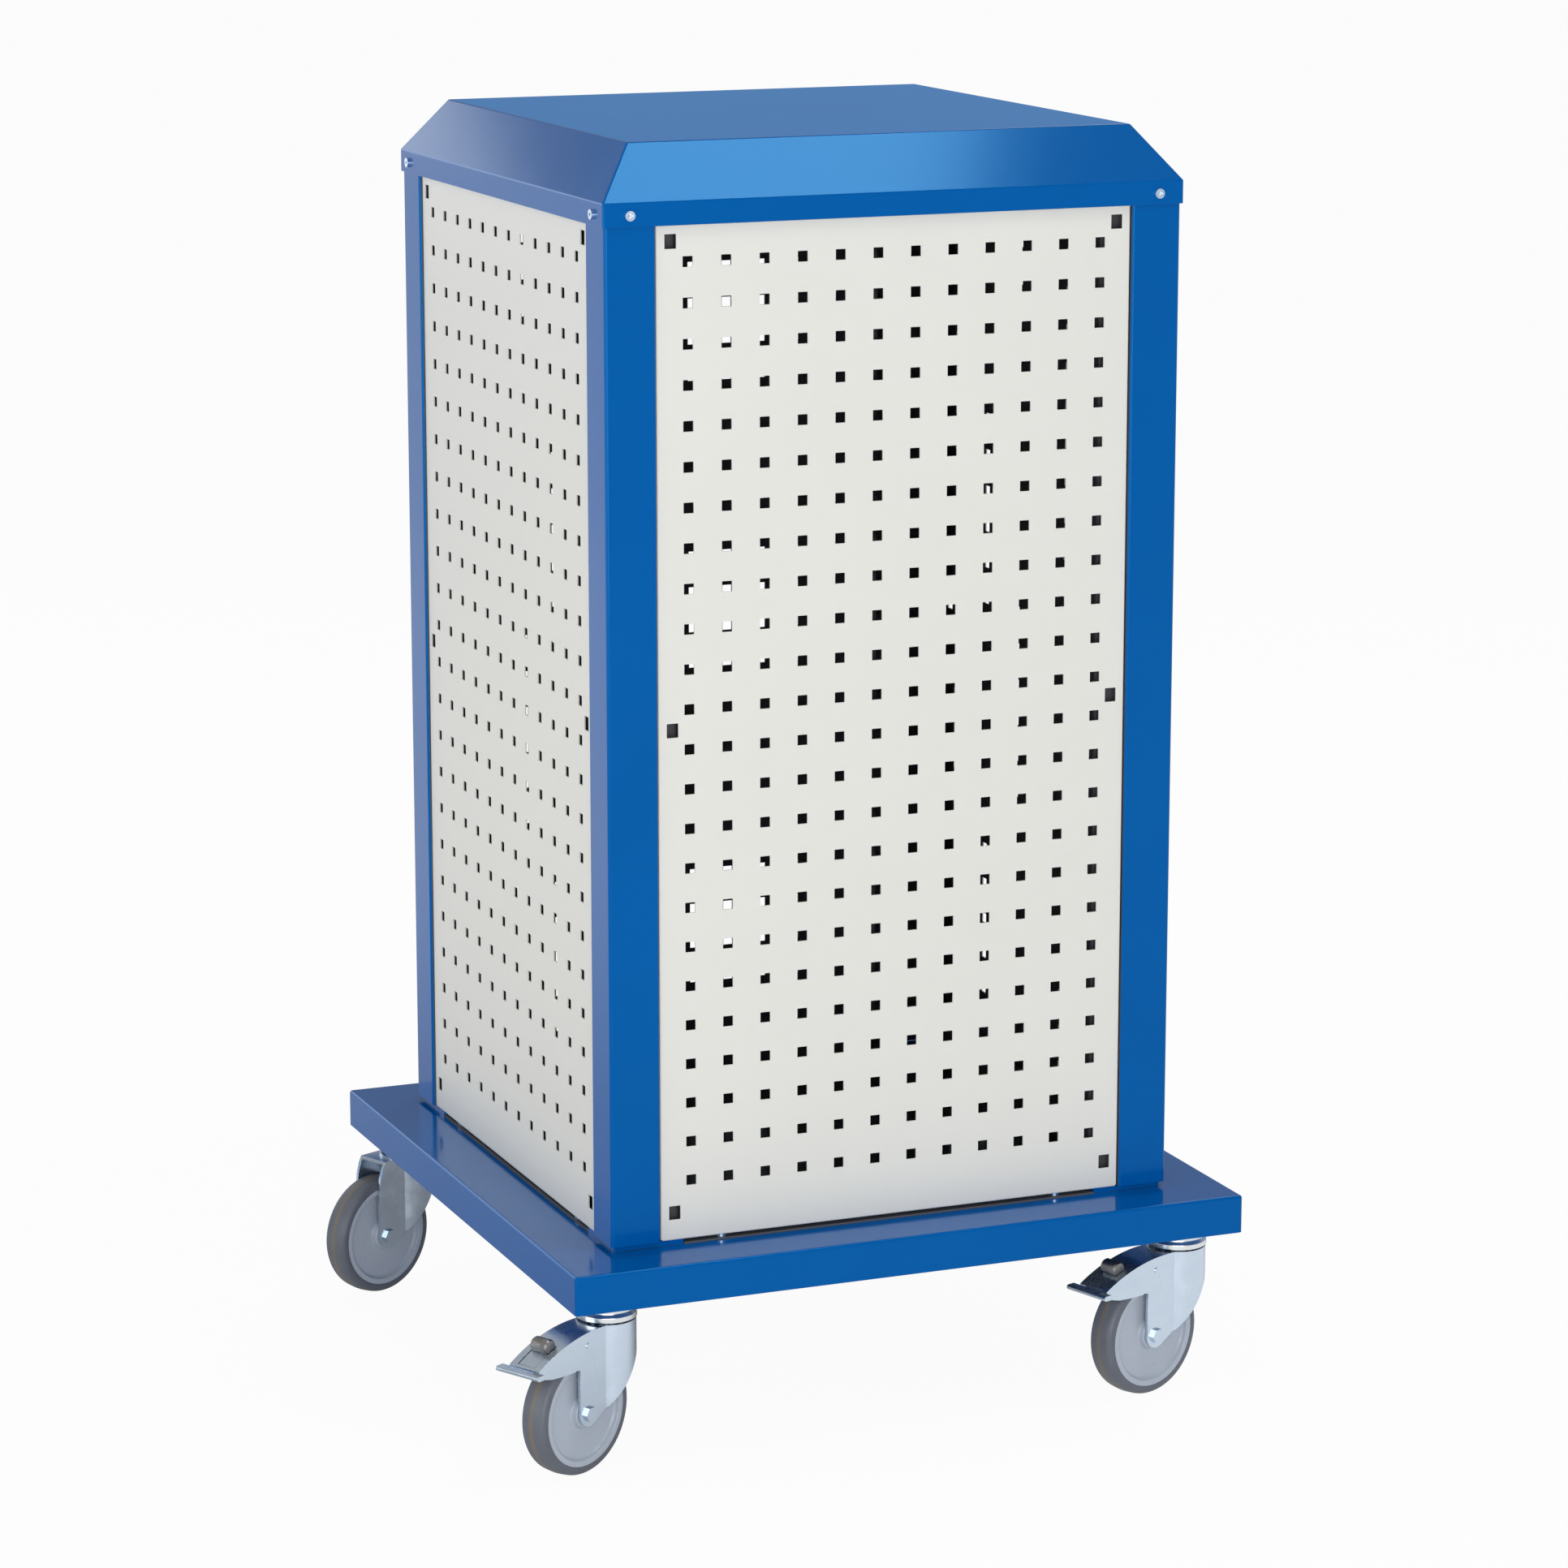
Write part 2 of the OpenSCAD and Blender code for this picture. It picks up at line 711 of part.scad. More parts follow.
// Pressed fork of one castor, with its bores; braked forks carry the arm and its window
module fork(i) {
    brake = has_brake[i];
    reach = brake ? arm_reach + 1 : leg_u + 1;
    color(zinc)
        at_castor(i)
            difference() {
                intersection() {
                    linear_extrude(crown_z + 1) fork_plan(0, reach);
                    across(3 * crown_r) {
                        if (brake) intersection() {
                            under_crown(0);
                            union() {
                                cheek_side();
                                arm_side();
                            }
                        }
                        else intersection() {
                            under_flat_crown(0);
                            cheek_side();
                        }
                    }
                }
                intersection() {
                    translate([0, 0, -1]) linear_extrude(crown_z + 1) fork_plan(fork_t, reach + 20);
                    across(3 * crown_r) {
                        if (brake) under_crown(fork_t);
                        else under_flat_crown(fork_t);
                    }
                }
                translate([0, 0, crown_z - fork_t - 1]) cylinder(r = kingpin_r + run_fit, h = fork_t + 2);
                cross_pin(axle_at, axle_r + bolt_play, 3 * crown_r);
                if (brake) {
                    cross_pin(pivot, pivot_r + run_fit, 3 * crown_r);
                    window(pad_start, pad_end, roller_w / 2 + window_gap);
                }
            }
}

// Steel tube clamped between the cheeks, which the wheel turns on
module axle_tube(i) {
    color(steel)
        at_castor(i)
            difference() {
                cross_pin(axle_at, tube_r, fork_gap);
                cross_pin(axle_at, axle_r + bolt_play, fork_gap + 2);
            }
}

// Hexagon bolt through fork and tube, with its nut on the far side
module axle_bolt(i) {
    nut_h = 6.5;
    head_t = 3.5;
    color(zinc)
        at_castor(i)
            translate([axle_at[0], 0, axle_at[1]])
                rotate([90, 0, 0]) {
                    translate([0, 0, -fork_half - head_t]) hexagon(axle_flats, head_t);
                    translate([0, 0, -fork_half - 1]) cylinder(r = axle_r, h = 2 * fork_half + nut_h + 2.5);
                    translate([0, 0, fork_half]) difference() {
                        hexagon(axle_flats, nut_h);
                        translate([0, 0, -1]) cylinder(r = axle_r, h = nut_h + 2);
                    }
                }
}

// Moulded wheel centre with a hub, a dished web and a flat outer ring
module wheel_centre(i) {
    half = wheel_w / 2;
    ring = tread_w / 2 - rim_set_back;
    inner = rim_r - rim_ring;
    foot = hub_r + dish_draft;
    edge = inner - dish_draft;
    bore = tube_r + run_fit;
    color(hub_grey)
        at_castor(i)
            translate([axle_at[0], 0, axle_at[1]])
                rotate([90, 0, 0])
                    rotate_extrude($fn = 96)
                        polygon([
                            [bore, -half], [hub_r, -half], [foot, dish - ring], [edge, dish - ring],
                            [inner, -ring], [rim_r, -ring], [rim_r, ring], [inner, ring],
                            [edge, ring - dish], [foot, ring - dish], [hub_r, half], [bore, half],
                        ]);
}

// Soft tyre with rounded shoulders, bonded round the wheel centre
module tread(i) {
    half = tread_w / 2;
    bore = rim_r + bond;
    shoulder = wheel_r - tread_round;
    color(rubber)
        at_castor(i)
            translate([axle_at[0], 0, axle_at[1]])
                rotate([90, 0, 0])
                    rotate_extrude($fn = 128)
                        difference() {
                            union() {
                                translate([bore, -half]) square([shoulder - bore, 2 * half]);
                                translate([bore, tread_round - half])
                                    square([wheel_r - bore, 2 * (half - tread_round)]);
                                for (y = [-1, 1])
                                    translate([shoulder, y * (half - tread_round)]) circle(tread_round);
                            }
                            translate([0, -half]) square([bore, 2 * half]);
                        }
}

// Side view of the pedal lever, from its eye on the pivot to the blade, with the brake shoe below
module lever_side() {
    difference() {
        union() {
            translate(pivot) circle(hub_eye);
            polygon([
                pivot + [0, hub_eye - 0.2], pivot + [lever_knee * 0.36, 3], pivot + [lever_knee * 0.7, 0.5],
                pivot + [lever_knee, -3.8], pivot + [lever_end, -9.5],
                blade_at + [-4, -2.2], blade_at + [2, -1.8], blade_at + [2, -4.8], blade_at + [-6, -5.6],
                pivot + [lever_end, -14], pivot + [lever_knee, -9],
                pivot + [shoe_end, -shoe_depth], pivot + [4, -shoe_depth],
            ]);
        }
        translate(axle_at) circle(wheel_r + 2 * brake_gap, $fn = 128);
        translate(pivot) rotate(pedal_travel) translate(axle_at - pivot)
            circle(wheel_r + brake_gap, $fn = 128);
    }
}

// Side view of the pad that fills the arm's window and seats the release roller
module pad_side() {
    difference() {
        intersection() {
            translate(arm_centre) circle(arm_r - 0.5, $fn = 256);
            translate([pad_start, 0]) square([pad_end - pad_start, crown_z]);
            polygon([
                [pad_start, crown_z], pivot + [pad_start - pivot[0], -3], pivot + [lever_knee, -8],
                pivot + [lever_end, -13], blade_at + [-4, -4.4], [pad_end, crown_z],
            ]);
        }
        translate(roller_at) circle(roller_r + run_fit);
    }
}

// Pedal: a pressed lever with its eye, brake shoe, pad and the wide blade that a foot pushes down
module pedal(i) {
    color(zinc)
        at_castor(i)
            difference() {
                union() {
                    across(lever_w) lever_side();
                    across(roller_w) pad_side();
                    across(blade_w) {
                        translate(blade_at + [0, -blade_t / 2]) square([blade_d - blade_t / 2, blade_t]);
                        translate(blade_at + [blade_d - blade_t / 2, 0]) circle(blade_t / 2);
                    }
                }
                cross_pin(pivot, pivot_r + run_fit, lever_w + 2);
            }
}

// Knurled roller on top of the pedal, which a foot pushes to release the brake
module release_roller(i) {
    color(steel)
        at_castor(i)
            cross_pin(roller_at, roller_r, roller_w);
}

// Riveted pin that the pedal turns on
module pivot_pin(i) {
    head = 0.8;
    color(zinc)
        at_castor(i) {
            cross_pin(pivot, pivot_r, 2 * fork_half);
            for (y = [-fork_half - head, fork_half])
                translate([pivot[0], y + head, pivot[1]])
                    rotate([90, 0, 0])
                        cylinder(r = pivot_r + 0.7, h = head);
        }
}

// Leaf spring under the crown that holds the pedal in its two positions
module brake_spring(i) {
    leaf = 0.8;
    seat = crown_z - fork_t;
    start = sleeve_flange_r + 2;
    tip = pivot + [2, hub_eye + 0.5];
    color(steel)
        at_castor(i)
            across(12)
                polygon([
                    [start, seat], [arm_start, seat], tip + [0, leaf], tip, [arm_start, seat - leaf],
                    [start, seat - leaf],
                ]);
}

base_tray();
castor_channel(-1);  // castor_channel_left
castor_channel(1);  // castor_channel_right
corner_post(0);  // post_front_right
corner_post(1);  // post_back_right
corner_post(2);  // post_back_left
corner_post(3);  // post_front_left
bottom_rail(0);  // bottom_rail_front
bottom_rail(1);  // bottom_rail_right
bottom_rail(2);  // bottom_rail_back
bottom_rail(3);  // bottom_rail_left
top_rail(0);  // top_rail_front
top_rail(1);  // top_rail_right
top_rail(2);  // top_rail_back
top_rail(3);  // top_rail_left
panel(0);  // panel_front
panel(1);  // panel_right
panel(2);  // panel_back
panel(3);  // panel_left
panel_hooks();
roof_cap();
roof_screws();
base_bolts();
castor_bolts();
swivel_head(0);  // swivel_head_front_left
swivel_head(1);  // swivel_head_front_right
swivel_head(2);  // swivel_head_back_left
swivel_head(3);  // swivel_head_back_right
ball_ring(0);  // ball_ring_front_left
ball_ring(1);  // ball_ring_front_right
ball_ring(2);  // ball_ring_back_left
ball_ring(3);  // ball_ring_back_right
fork(0);  // fork_front_left
fork(1);  // fork_front_right
fork(2);  // fork_back_left
fork(3);  // fork_back_right
axle_tube(0);  // axle_tube_front_left
axle_tube(1);  // axle_tube_front_right
axle_tube(2);  // axle_tube_back_left
axle_tube(3);  // axle_tube_back_right
axle_bolt(0);  // axle_bolt_front_left
axle_bolt(1);  // axle_bolt_front_right
axle_bolt(2);  // axle_bolt_back_left
axle_bolt(3);  // axle_bolt_back_right
wheel_centre(0);  // wheel_centre_front_left
wheel_centre(1);  // wheel_centre_front_right
wheel_centre(2);  // wheel_centre_back_left
wheel_centre(3);  // wheel_centre_back_right
tread(0);  // tread_front_left
tread(1);  // tread_front_right
tread(2);  // tread_back_left
tread(3);  // tread_back_right
pedal(0);  // pedal_front_left
pedal(1);  // pedal_front_right
release_roller(0);  // release_roller_front_left
release_roller(1);  // release_roller_front_right
pivot_pin(0);  // pivot_pin_front_left
pivot_pin(1);  // pivot_pin_front_right
brake_spring(0);  // brake_spring_front_left
brake_spring(1);  // brake_spring_front_right
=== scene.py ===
import math
import bpy
import numpy as np
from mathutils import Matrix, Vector


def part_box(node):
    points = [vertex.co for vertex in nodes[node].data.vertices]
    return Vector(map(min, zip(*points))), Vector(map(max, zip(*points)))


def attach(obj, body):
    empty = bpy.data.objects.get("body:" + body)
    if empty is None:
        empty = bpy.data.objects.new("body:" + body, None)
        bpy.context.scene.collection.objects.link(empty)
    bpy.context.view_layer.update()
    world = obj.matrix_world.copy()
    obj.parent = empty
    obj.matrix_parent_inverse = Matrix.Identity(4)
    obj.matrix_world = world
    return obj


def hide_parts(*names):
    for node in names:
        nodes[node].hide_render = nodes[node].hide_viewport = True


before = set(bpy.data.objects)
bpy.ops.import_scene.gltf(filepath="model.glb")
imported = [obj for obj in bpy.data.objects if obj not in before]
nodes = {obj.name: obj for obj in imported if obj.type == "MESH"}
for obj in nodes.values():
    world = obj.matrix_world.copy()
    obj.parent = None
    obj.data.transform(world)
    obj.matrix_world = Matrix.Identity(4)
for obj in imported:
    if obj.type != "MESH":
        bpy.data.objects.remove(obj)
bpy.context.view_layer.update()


# Base tray
# One steel sheet, folded down on four sides and welded at the corners, in a glossy blue powder
# coat. It carries the tower on its deck and the two channels with the castors. Inside the tower
# the deck is painted dark, as painted shade.
tray_low, tray_high = np.array(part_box("base_tray"))
tray_half = tray_high[0]
tray_sheet = 0.0025
tray_bend = 0.003
tray_edge = 0.0006
tray_inner_bend = 0.0005
tray_corner = 0.0004
flat_half = 0.05
# Painted shade: the deck inside the tower, within this half width, is painted this dark colour.
painted_shade_half = 0.2885
painted_shade_colour = (0.08, 0.08, 0.085)


def rounded_path(corners, radii, steps=5):
    """Polyline with each inner corner c replaced by an arc: with unit vectors a and b towards its
    neighbours and half their angle h, the centre is c + (a + b) / |a + b| * r / sin h, and the
    points turn about it from the foot of one side to the foot of the other."""
    p = np.array(corners, float)
    r = np.array(radii, float)[:, None]
    a = p[:-2] - p[1:-1]
    b = p[2:] - p[1:-1]
    a /= np.linalg.norm(a, axis=1, keepdims=True)
    b /= np.linalg.norm(b, axis=1, keepdims=True)
    half_angle = np.arccos(np.clip((a * b).sum(1, keepdims=True), -1, 1)) / 2
    middle = (a + b) / np.linalg.norm(a + b, axis=1, keepdims=True)
    centre = p[1:-1] + middle * r / np.sin(half_angle)
    reach = r / np.tan(half_angle)
    start = p[1:-1] + a * reach - centre
    end = p[1:-1] + b * reach - centre
    turn = np.pi - 2 * half_angle
    t = np.linspace(0, 1, steps + 1)[None, :, None]
    turn = turn[:, None, :]
    arcs = (np.sin((1 - t) * turn) * start[:, None] + np.sin(t * turn) * end[:, None]) / np.sin(turn)
    return np.concatenate([p[:1], (centre[:, None] + arcs).reshape(-1, 2), p[-1:]])


def square_rings(half, profile, radius, steps=5):
    """Rounded squares carried along a profile of (inset, height, radius): each is a square of half
    width half - inset whose corners are arcs of that radius, at that height."""
    quarter = np.repeat(np.arange(4), steps + 1)
    angle = np.radians(90 * quarter + np.tile(np.linspace(0, 90, steps + 1), 4))
    corner = np.radians(90 * quarter + 45)
    side = np.sqrt(2) * np.array([np.cos(corner), np.sin(corner)])
    width = (half - profile[:, 0] - radius)[:, None]
    x = width * side[0] + radius[:, None] * np.cos(angle)
    y = width * side[1] + radius[:, None] * np.sin(angle)
    return np.stack([x, y, np.broadcast_to(profile[:, 1][:, None], x.shape)], axis=-1)


def grid_faces(rows, columns, rows_wrap=False, columns_wrap=False, caps=False):
    """Quads between neighbouring points of a grid, which may run on from its last row or column to
    its first, and one flat face on the first and the last row."""
    index = np.arange(rows * columns).reshape(rows, columns)
    ends = [index[0][::-1].tolist(), index[-1].tolist()] if caps else []
    if rows_wrap:
        index = np.concatenate([index, index[:1]])
    if columns_wrap:
        index = np.concatenate([index, index[:, :1]], axis=1)
    quads = np.stack([index[:-1, :-1], index[:-1, 1:], index[1:, 1:], index[1:, :-1]], axis=-1)
    return quads.reshape(-1, 4).tolist() + ends


def finished_piece(name, points, faces, material, body, replaced=(), bevel=0.0, wall=0.0,
                   inside=None):
    """A closed mesh is turned outwards when the sum of its corner volumes, a . (b x c) / 6 about the
    mean point, is negative."""
    place = np.asarray(points, float).reshape(-1, 3)
    mesh = bpy.data.meshes.new(name)
    mesh.from_pydata(place.tolist(), [], faces)
    if not wall:
        corners = np.empty(len(mesh.loop_triangles) * 3, np.int64)
        mesh.loop_triangles.foreach_get("vertices", corners)
        a, b, c = (place - place.mean(0))[corners.reshape(-1, 3)].transpose(1, 0, 2)
        if np.einsum("ij,ij->i", a, np.cross(b, c)).sum() < 0:
            mesh.flip_normals()
    mesh.update()
    mesh.shade_smooth()
    mesh.set_sharp_from_angle(angle=math.radians(35))
    obj = bpy.data.objects.new(name, mesh)
    bpy.context.scene.collection.objects.link(obj)
    mesh.materials.append(material)
    if wall:
        mesh.materials.append(inside or material)
        thick = obj.modifiers.new("Sheet thickness", "SOLIDIFY")
        thick.thickness = wall
        thick.offset = -1
        thick.material_offset = 1
        thick.use_even_offset = True
    if bevel:
        soft = obj.modifiers.new("Edges", "BEVEL")
        soft.width = bevel
        soft.segments = 2
        soft.limit_method = "ANGLE"
        soft.angle_limit = math.radians(35)
    weighted = obj.modifiers.new("Flat faces", "WEIGHTED_NORMAL")
    weighted.keep_sharp = True
    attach(obj, body)
    for node in replaced:
        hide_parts(node)
    return obj


def shader_group(name, inputs, outputs):
    """Empty shader node group with number inputs and typed outputs, and its two end nodes."""
    group = bpy.data.node_groups.new(name, "ShaderNodeTree")
    for title, value in inputs.items():
        socket = group.interface.new_socket(title, in_out="INPUT", socket_type="NodeSocketFloat")
        socket.default_value = value
    for title, kind in outputs.items():
        group.interface.new_socket(title, in_out="OUTPUT", socket_type=kind)
    return group, group.nodes.new("NodeGroupInput"), group.nodes.new("NodeGroupOutput")


def orange_peel_group():
    """Powder coat: long soft ripples plus fine grain, as a height, and cloudy tone from 0 to 1."""
    group, given, result = shader_group(
        "orange peel", {"Ripples per metre": 260.0, "Grains per metre": 1500.0, "Grain": 0.25},
        {"Height": "NodeSocketFloat", "Tone": "NodeSocketFloat"})
    place = group.nodes.new("ShaderNodeTexCoord")
    ripple = group.nodes.new("ShaderNodeTexNoise")
    grain = group.nodes.new("ShaderNodeTexNoise")
    cloud = group.nodes.new("ShaderNodeTexNoise")
    cloud.inputs["Scale"].default_value = 7.0
    cloud.inputs["Detail"].default_value = 3.0
    ripple.inputs["Detail"].default_value = 1.0
    grain.inputs["Detail"].default_value = 2.0
    share = group.nodes.new("ShaderNodeMath")
    share.operation = "MULTIPLY_ADD"
    for noise in (ripple, grain, cloud):
        group.links.new(place.outputs["Object"], noise.inputs["Vector"])
    group.links.new(given.outputs["Ripples per metre"], ripple.inputs["Scale"])
    group.links.new(given.outputs["Grains per metre"], grain.inputs["Scale"])
    group.links.new(grain.outputs["Fac"], share.inputs[0])
    group.links.new(given.outputs["Grain"], share.inputs[1])
    group.links.new(ripple.outputs["Fac"], share.inputs[2])
    group.links.new(share.outputs[0], result.inputs["Height"])
    group.links.new(cloud.outputs["Fac"], result.inputs["Tone"])
    return group


orange_peel = orange_peel_group()


def surface_material(name, settings):
    """Material with one Principled BSDF, whose constant sockets are set from a dictionary."""
    made = bpy.data.materials.new(name)
    made.use_nodes = True
    shader = made.node_tree.nodes["Principled BSDF"]
    for socket, value in settings.items():
        shader.inputs[socket].default_value = value
    return made, made.node_tree, shader


def powder_coat(name, dark, light, roughness, ripple, grain, settings, peel=0.00002):
    """Powder-coated sheet: colour drifts between two near tones, and the peel dents the gloss."""
    made, tree, shader = surface_material(name, settings)
    coat = tree.nodes.new("ShaderNodeGroup")
    coat.node_tree = orange_peel
    coat.inputs["Ripples per metre"].default_value = ripple
    coat.inputs["Grain"].default_value = grain
    tone = tree.nodes.new("ShaderNodeMix")
    tone.data_type = "RGBA"
    tone.inputs["A"].default_value = (*dark, 1)
    tone.inputs["B"].default_value = (*light, 1)
    gloss = tree.nodes.new("ShaderNodeMapRange")
    gloss.inputs["To Min"].default_value = roughness[0]
    gloss.inputs["To Max"].default_value = roughness[1]
    dents = tree.nodes.new("ShaderNodeBump")
    dents.inputs["Distance"].default_value = peel
    tree.links.new(coat.outputs["Tone"], tone.inputs["Factor"])
    tree.links.new(coat.outputs["Tone"], gloss.inputs["Value"])
    tree.links.new(coat.outputs["Height"], dents.inputs["Height"])
    tree.links.new(tone.outputs["Result"], shader.inputs["Base Color"])
    tree.links.new(gloss.outputs["Result"], shader.inputs["Roughness"])
    tree.links.new(dents.outputs["Normal"], shader.inputs["Normal"])
    return made


def add_painted_shade_square(made, half, colour):
    """Painted shade: changes a coat's colour to a given dark colour where the greater of |x| and |y| is
    below a half width.
    """
    tree = made.node_tree
    shader = tree.nodes["Principled BSDF"]
    coat = shader.inputs["Base Color"].links[0].from_socket
    place = tree.nodes.new("ShaderNodeTexCoord")
    size = tree.nodes.new("ShaderNodeVectorMath")
    size.operation = "ABSOLUTE"
    split = tree.nodes.new("ShaderNodeSeparateXYZ")
    widest = tree.nodes.new("ShaderNodeMath")
    widest.operation = "MAXIMUM"
    below = tree.nodes.new("ShaderNodeMath")
    below.operation = "LESS_THAN"
    below.inputs[1].default_value = half
    tone = tree.nodes.new("ShaderNodeMix")
    tone.data_type = "RGBA"
    tone.inputs["B"].default_value = (*colour, 1)
    tree.links.new(place.outputs["Object"], size.inputs[0])
    tree.links.new(size.outputs["Vector"], split.inputs["Vector"])
    tree.links.new(split.outputs["X"], widest.inputs[0])
    tree.links.new(split.outputs["Y"], widest.inputs[1])
    tree.links.new(widest.outputs[0], below.inputs[0])
    tree.links.new(below.outputs[0], tone.inputs["Factor"])
    tree.links.new(coat, tone.inputs["A"])
    tree.links.new(tone.outputs["Result"], shader.inputs["Base Color"])


blue_paint = {
    "dark": (0.0, 0.090, 0.345), "light": (0.0, 0.106, 0.385), "roughness": (0.1, 0.16), "ripple": 240.0,
    "grain": 0.2, "settings": {"IOR": 1.42, "Specular Tint": (0.12, 0.6, 1.0, 1.0)}}
blue_coat = powder_coat("blue powder coat", **blue_paint)
tray_coat_with_painted_shade = powder_coat("blue powder coat over primer", **blue_paint)
# Painted shade: the deck inside the tower is darkened.
add_painted_shade_square(tray_coat_with_painted_shade, painted_shade_half, painted_shade_colour)

tray_centre = tray_half - flat_half
tray_profile = rounded_path(
    [(tray_centre, tray_high[2]), (0, tray_high[2]), (0, tray_low[2]), (tray_sheet, tray_low[2]),
     (tray_sheet, tray_high[2] - tray_sheet), (tray_centre, tray_high[2] - tray_sheet)],
    [tray_bend, tray_edge, tray_edge, tray_inner_bend])
tray_radius = np.maximum(tray_bend - np.clip(tray_profile[:, 0], 0, tray_sheet), tray_corner)
tray_rings = square_rings(tray_half, tray_profile, tray_radius)
finished_piece(
    "base_tray_folded", tray_rings, grid_faces(*tray_rings.shape[:2], columns_wrap=True, caps=True),
    tray_coat_with_painted_shade, "tower", ["base_tray"])


# Channels under the deck
# Two folded channels run front to back inside the tray and carry the castors. They keep the plain
# form of the frame, in the same blue coat.
def dress_node(name, material, bevel=0.0):
    """Gives a piece of the frame its finish, welded points, softened edges and even normals."""
    obj = nodes[name]
    obj.data.materials.clear()
    obj.data.materials.append(material)
    if bevel:
        weld = obj.modifiers.new("Joined points", "WELD")
        weld.merge_threshold = 0.00002
        soft = obj.modifiers.new("Edges", "BEVEL")
        soft.width = bevel
        soft.segments = 2
        soft.limit_method = "ANGLE"
        soft.angle_limit = math.radians(32)
        weighted = obj.modifiers.new("Flat faces", "WEIGHTED_NORMAL")
        weighted.weight = 90


for side in ("left", "right"):
    dress_node("castor_channel_" + side, blue_coat)


# Corner posts
# Each is one sheet folded to an angle with a rounded corner, a return behind the panel edge and a
# stiffening lip, standing on a small foot plate that is welded inside its lower end. Inside the
# tower the faces get a dark coat, as painted shade.
post_low, post_high = np.array(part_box("post_front_right"))
panel_low, panel_high = np.array(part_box("panel_front"))
tower_half = post_high[0]
post_face = 0.050
post_sheet = 0.002
post_back = panel_high[1] + tower_half
post_reach = post_high[0] - post_low[0]
post_lip = 0.015
post_lip_bend = 0.0024
post_inner_bend = 0.0005
post_edge_bend = 0.0022
post_corner = 0.003
post_skin = 0.0025
post_foot = 0.005
foot_inset = 0.004
foot_corner = 0.002
# Painted shade: a dark coat stands in for the shade inside the tower, on rails and inner faces.
painted_shade = powder_coat(
    "dark primer", dark=(0.09, 0.09, 0.096), light=(0.11, 0.11, 0.118), roughness=(0.55, 0.65),
    ripple=420.0, grain=0.3, settings={"IOR": 1.4}, peel=0.00001)


def turned(points, quarter):
    """Points turned about the tower's upright middle axis by whole quarters."""
    c, s = [(1, 0), (0, 1), (-1, 0), (0, -1)][quarter]
    x, y = points[..., 0], points[..., 1]
    return np.stack([c * x - s * y, s * x + c * y, points[..., 2]], axis=-1)


def swept_up(outline, heights):
    """Grid of points: an outline of (x, y) repeated at each height."""
    z = np.asarray(heights, float)[:, None]
    x, y = outline.T
    return np.stack(np.broadcast_arrays(x[None], y[None], z), axis=-1)


post_leg = np.array([
    (post_reach, post_back + post_lip), (post_reach, post_back), (post_face, post_back), (post_face, 0)])
post_outline = rounded_path(
    np.concatenate([post_leg, [(0, 0)], post_leg[::-1, ::-1]]),
    [post_lip_bend, post_inner_bend, post_edge_bend, post_corner, post_edge_bend, post_inner_bend,
     post_lip_bend])
post_outline = (post_outline - (tower_half, tower_half))[::-1]
post_middles = (post_outline[1:] + post_outline[:-1]) / 2 + tower_half
# Painted shade: post faces set back behind the outer skin get the dark coat.
post_painted_shade_faces = (post_middles.min(1) > post_skin).astype(np.int32)
foot_outline = rounded_path(
    np.array([(0, 1), (0, 0), (1, 0), (1, 1), (0, 1)]) * (post_reach - foot_inset) + foot_inset - tower_half,
    [foot_corner, foot_corner, foot_corner])[:-1]
for quarter, place in enumerate(("front_left", "front_right", "back_right", "back_left")):
    post_points = turned(swept_up(post_outline, [post_low[2] + post_foot, post_high[2]]), quarter)
    post = finished_piece(
        "post_folded_" + place, post_points, grid_faces(2, len(post_outline)),
        blue_coat, "tower", ["post_" + place], bevel=0.0003, wall=post_sheet, inside=painted_shade)
    post.data.polygons.foreach_set("material_index", post_painted_shade_faces)
    foot_points = turned(swept_up(foot_outline, [post_low[2], post_low[2] + post_foot]), quarter)
    finished_piece(
        "post_foot_" + place, foot_points, grid_faces(2, len(foot_outline), columns_wrap=True, caps=True),
        blue_coat, "tower", [])


# Rails between the posts
# The bottom rails stand on a flange that is bolted to the deck, and the top rails are folded
# inwards under the roof. Both lie behind the panels and are painted dark, as painted shade.
for side in ("front", "right", "back", "left"):
    # Painted shade: the rails get the dark coat.
    dress_node("bottom_rail_" + side, painted_shade)
    dress_node("top_rail_" + side, painted_shade)


# Perforated panels
# Light grey powder-coated sheets, punched with rows of square holes at an even pitch and with six
# larger fixing holes, their edges folded back between the posts. Inside they are painted dark, as painted
# shade.
panel_half_w = panel_high[0]
panel_half_h = (panel_high[2] - panel_low[2]) / 2
panel_middle = (panel_high[2] + panel_low[2]) / 2
panel_face = panel_low[1]
panel_depth = panel_high[1] - panel_low[1]
panel_sheet = 0.0015
panel_bend = 0.0016
hole_pitch = 0.038
hole_side = 0.010
hole_columns = 12
hole_rows = 24
fixing_w = 0.0115
fixing_h = 0.0135
fixing_inset = 0.0142
fixing_top = 0.039
fixing_foot = 0.027
grey_coat = powder_coat(
    "light grey powder coat", dark=(0.778, 0.758, 0.688), light=(0.809, 0.788, 0.717),
    roughness=(0.34, 0.42), ripple=420.0, grain=0.3, settings={"IOR": 1.45}, peel=0.00001)


def folded_lines(lines, half):
    """Sheet lines across a panel: flat ones at depth 0, then at each end an arc of the bend radius
    r, at half - r + r sin a and depth r - r cos a, and the folded edge at the full depth."""
    a = np.radians(np.linspace(0, 90, 5))
    bend = np.stack([half - panel_bend + panel_bend * np.sin(a), panel_bend * (1 - np.cos(a))], axis=1)
    end = np.concatenate([bend, [(half, panel_depth)]])
    flat = np.stack([lines, np.zeros_like(lines)], axis=1)
    return np.concatenate([end[::-1] * (-1, 1), flat, end])


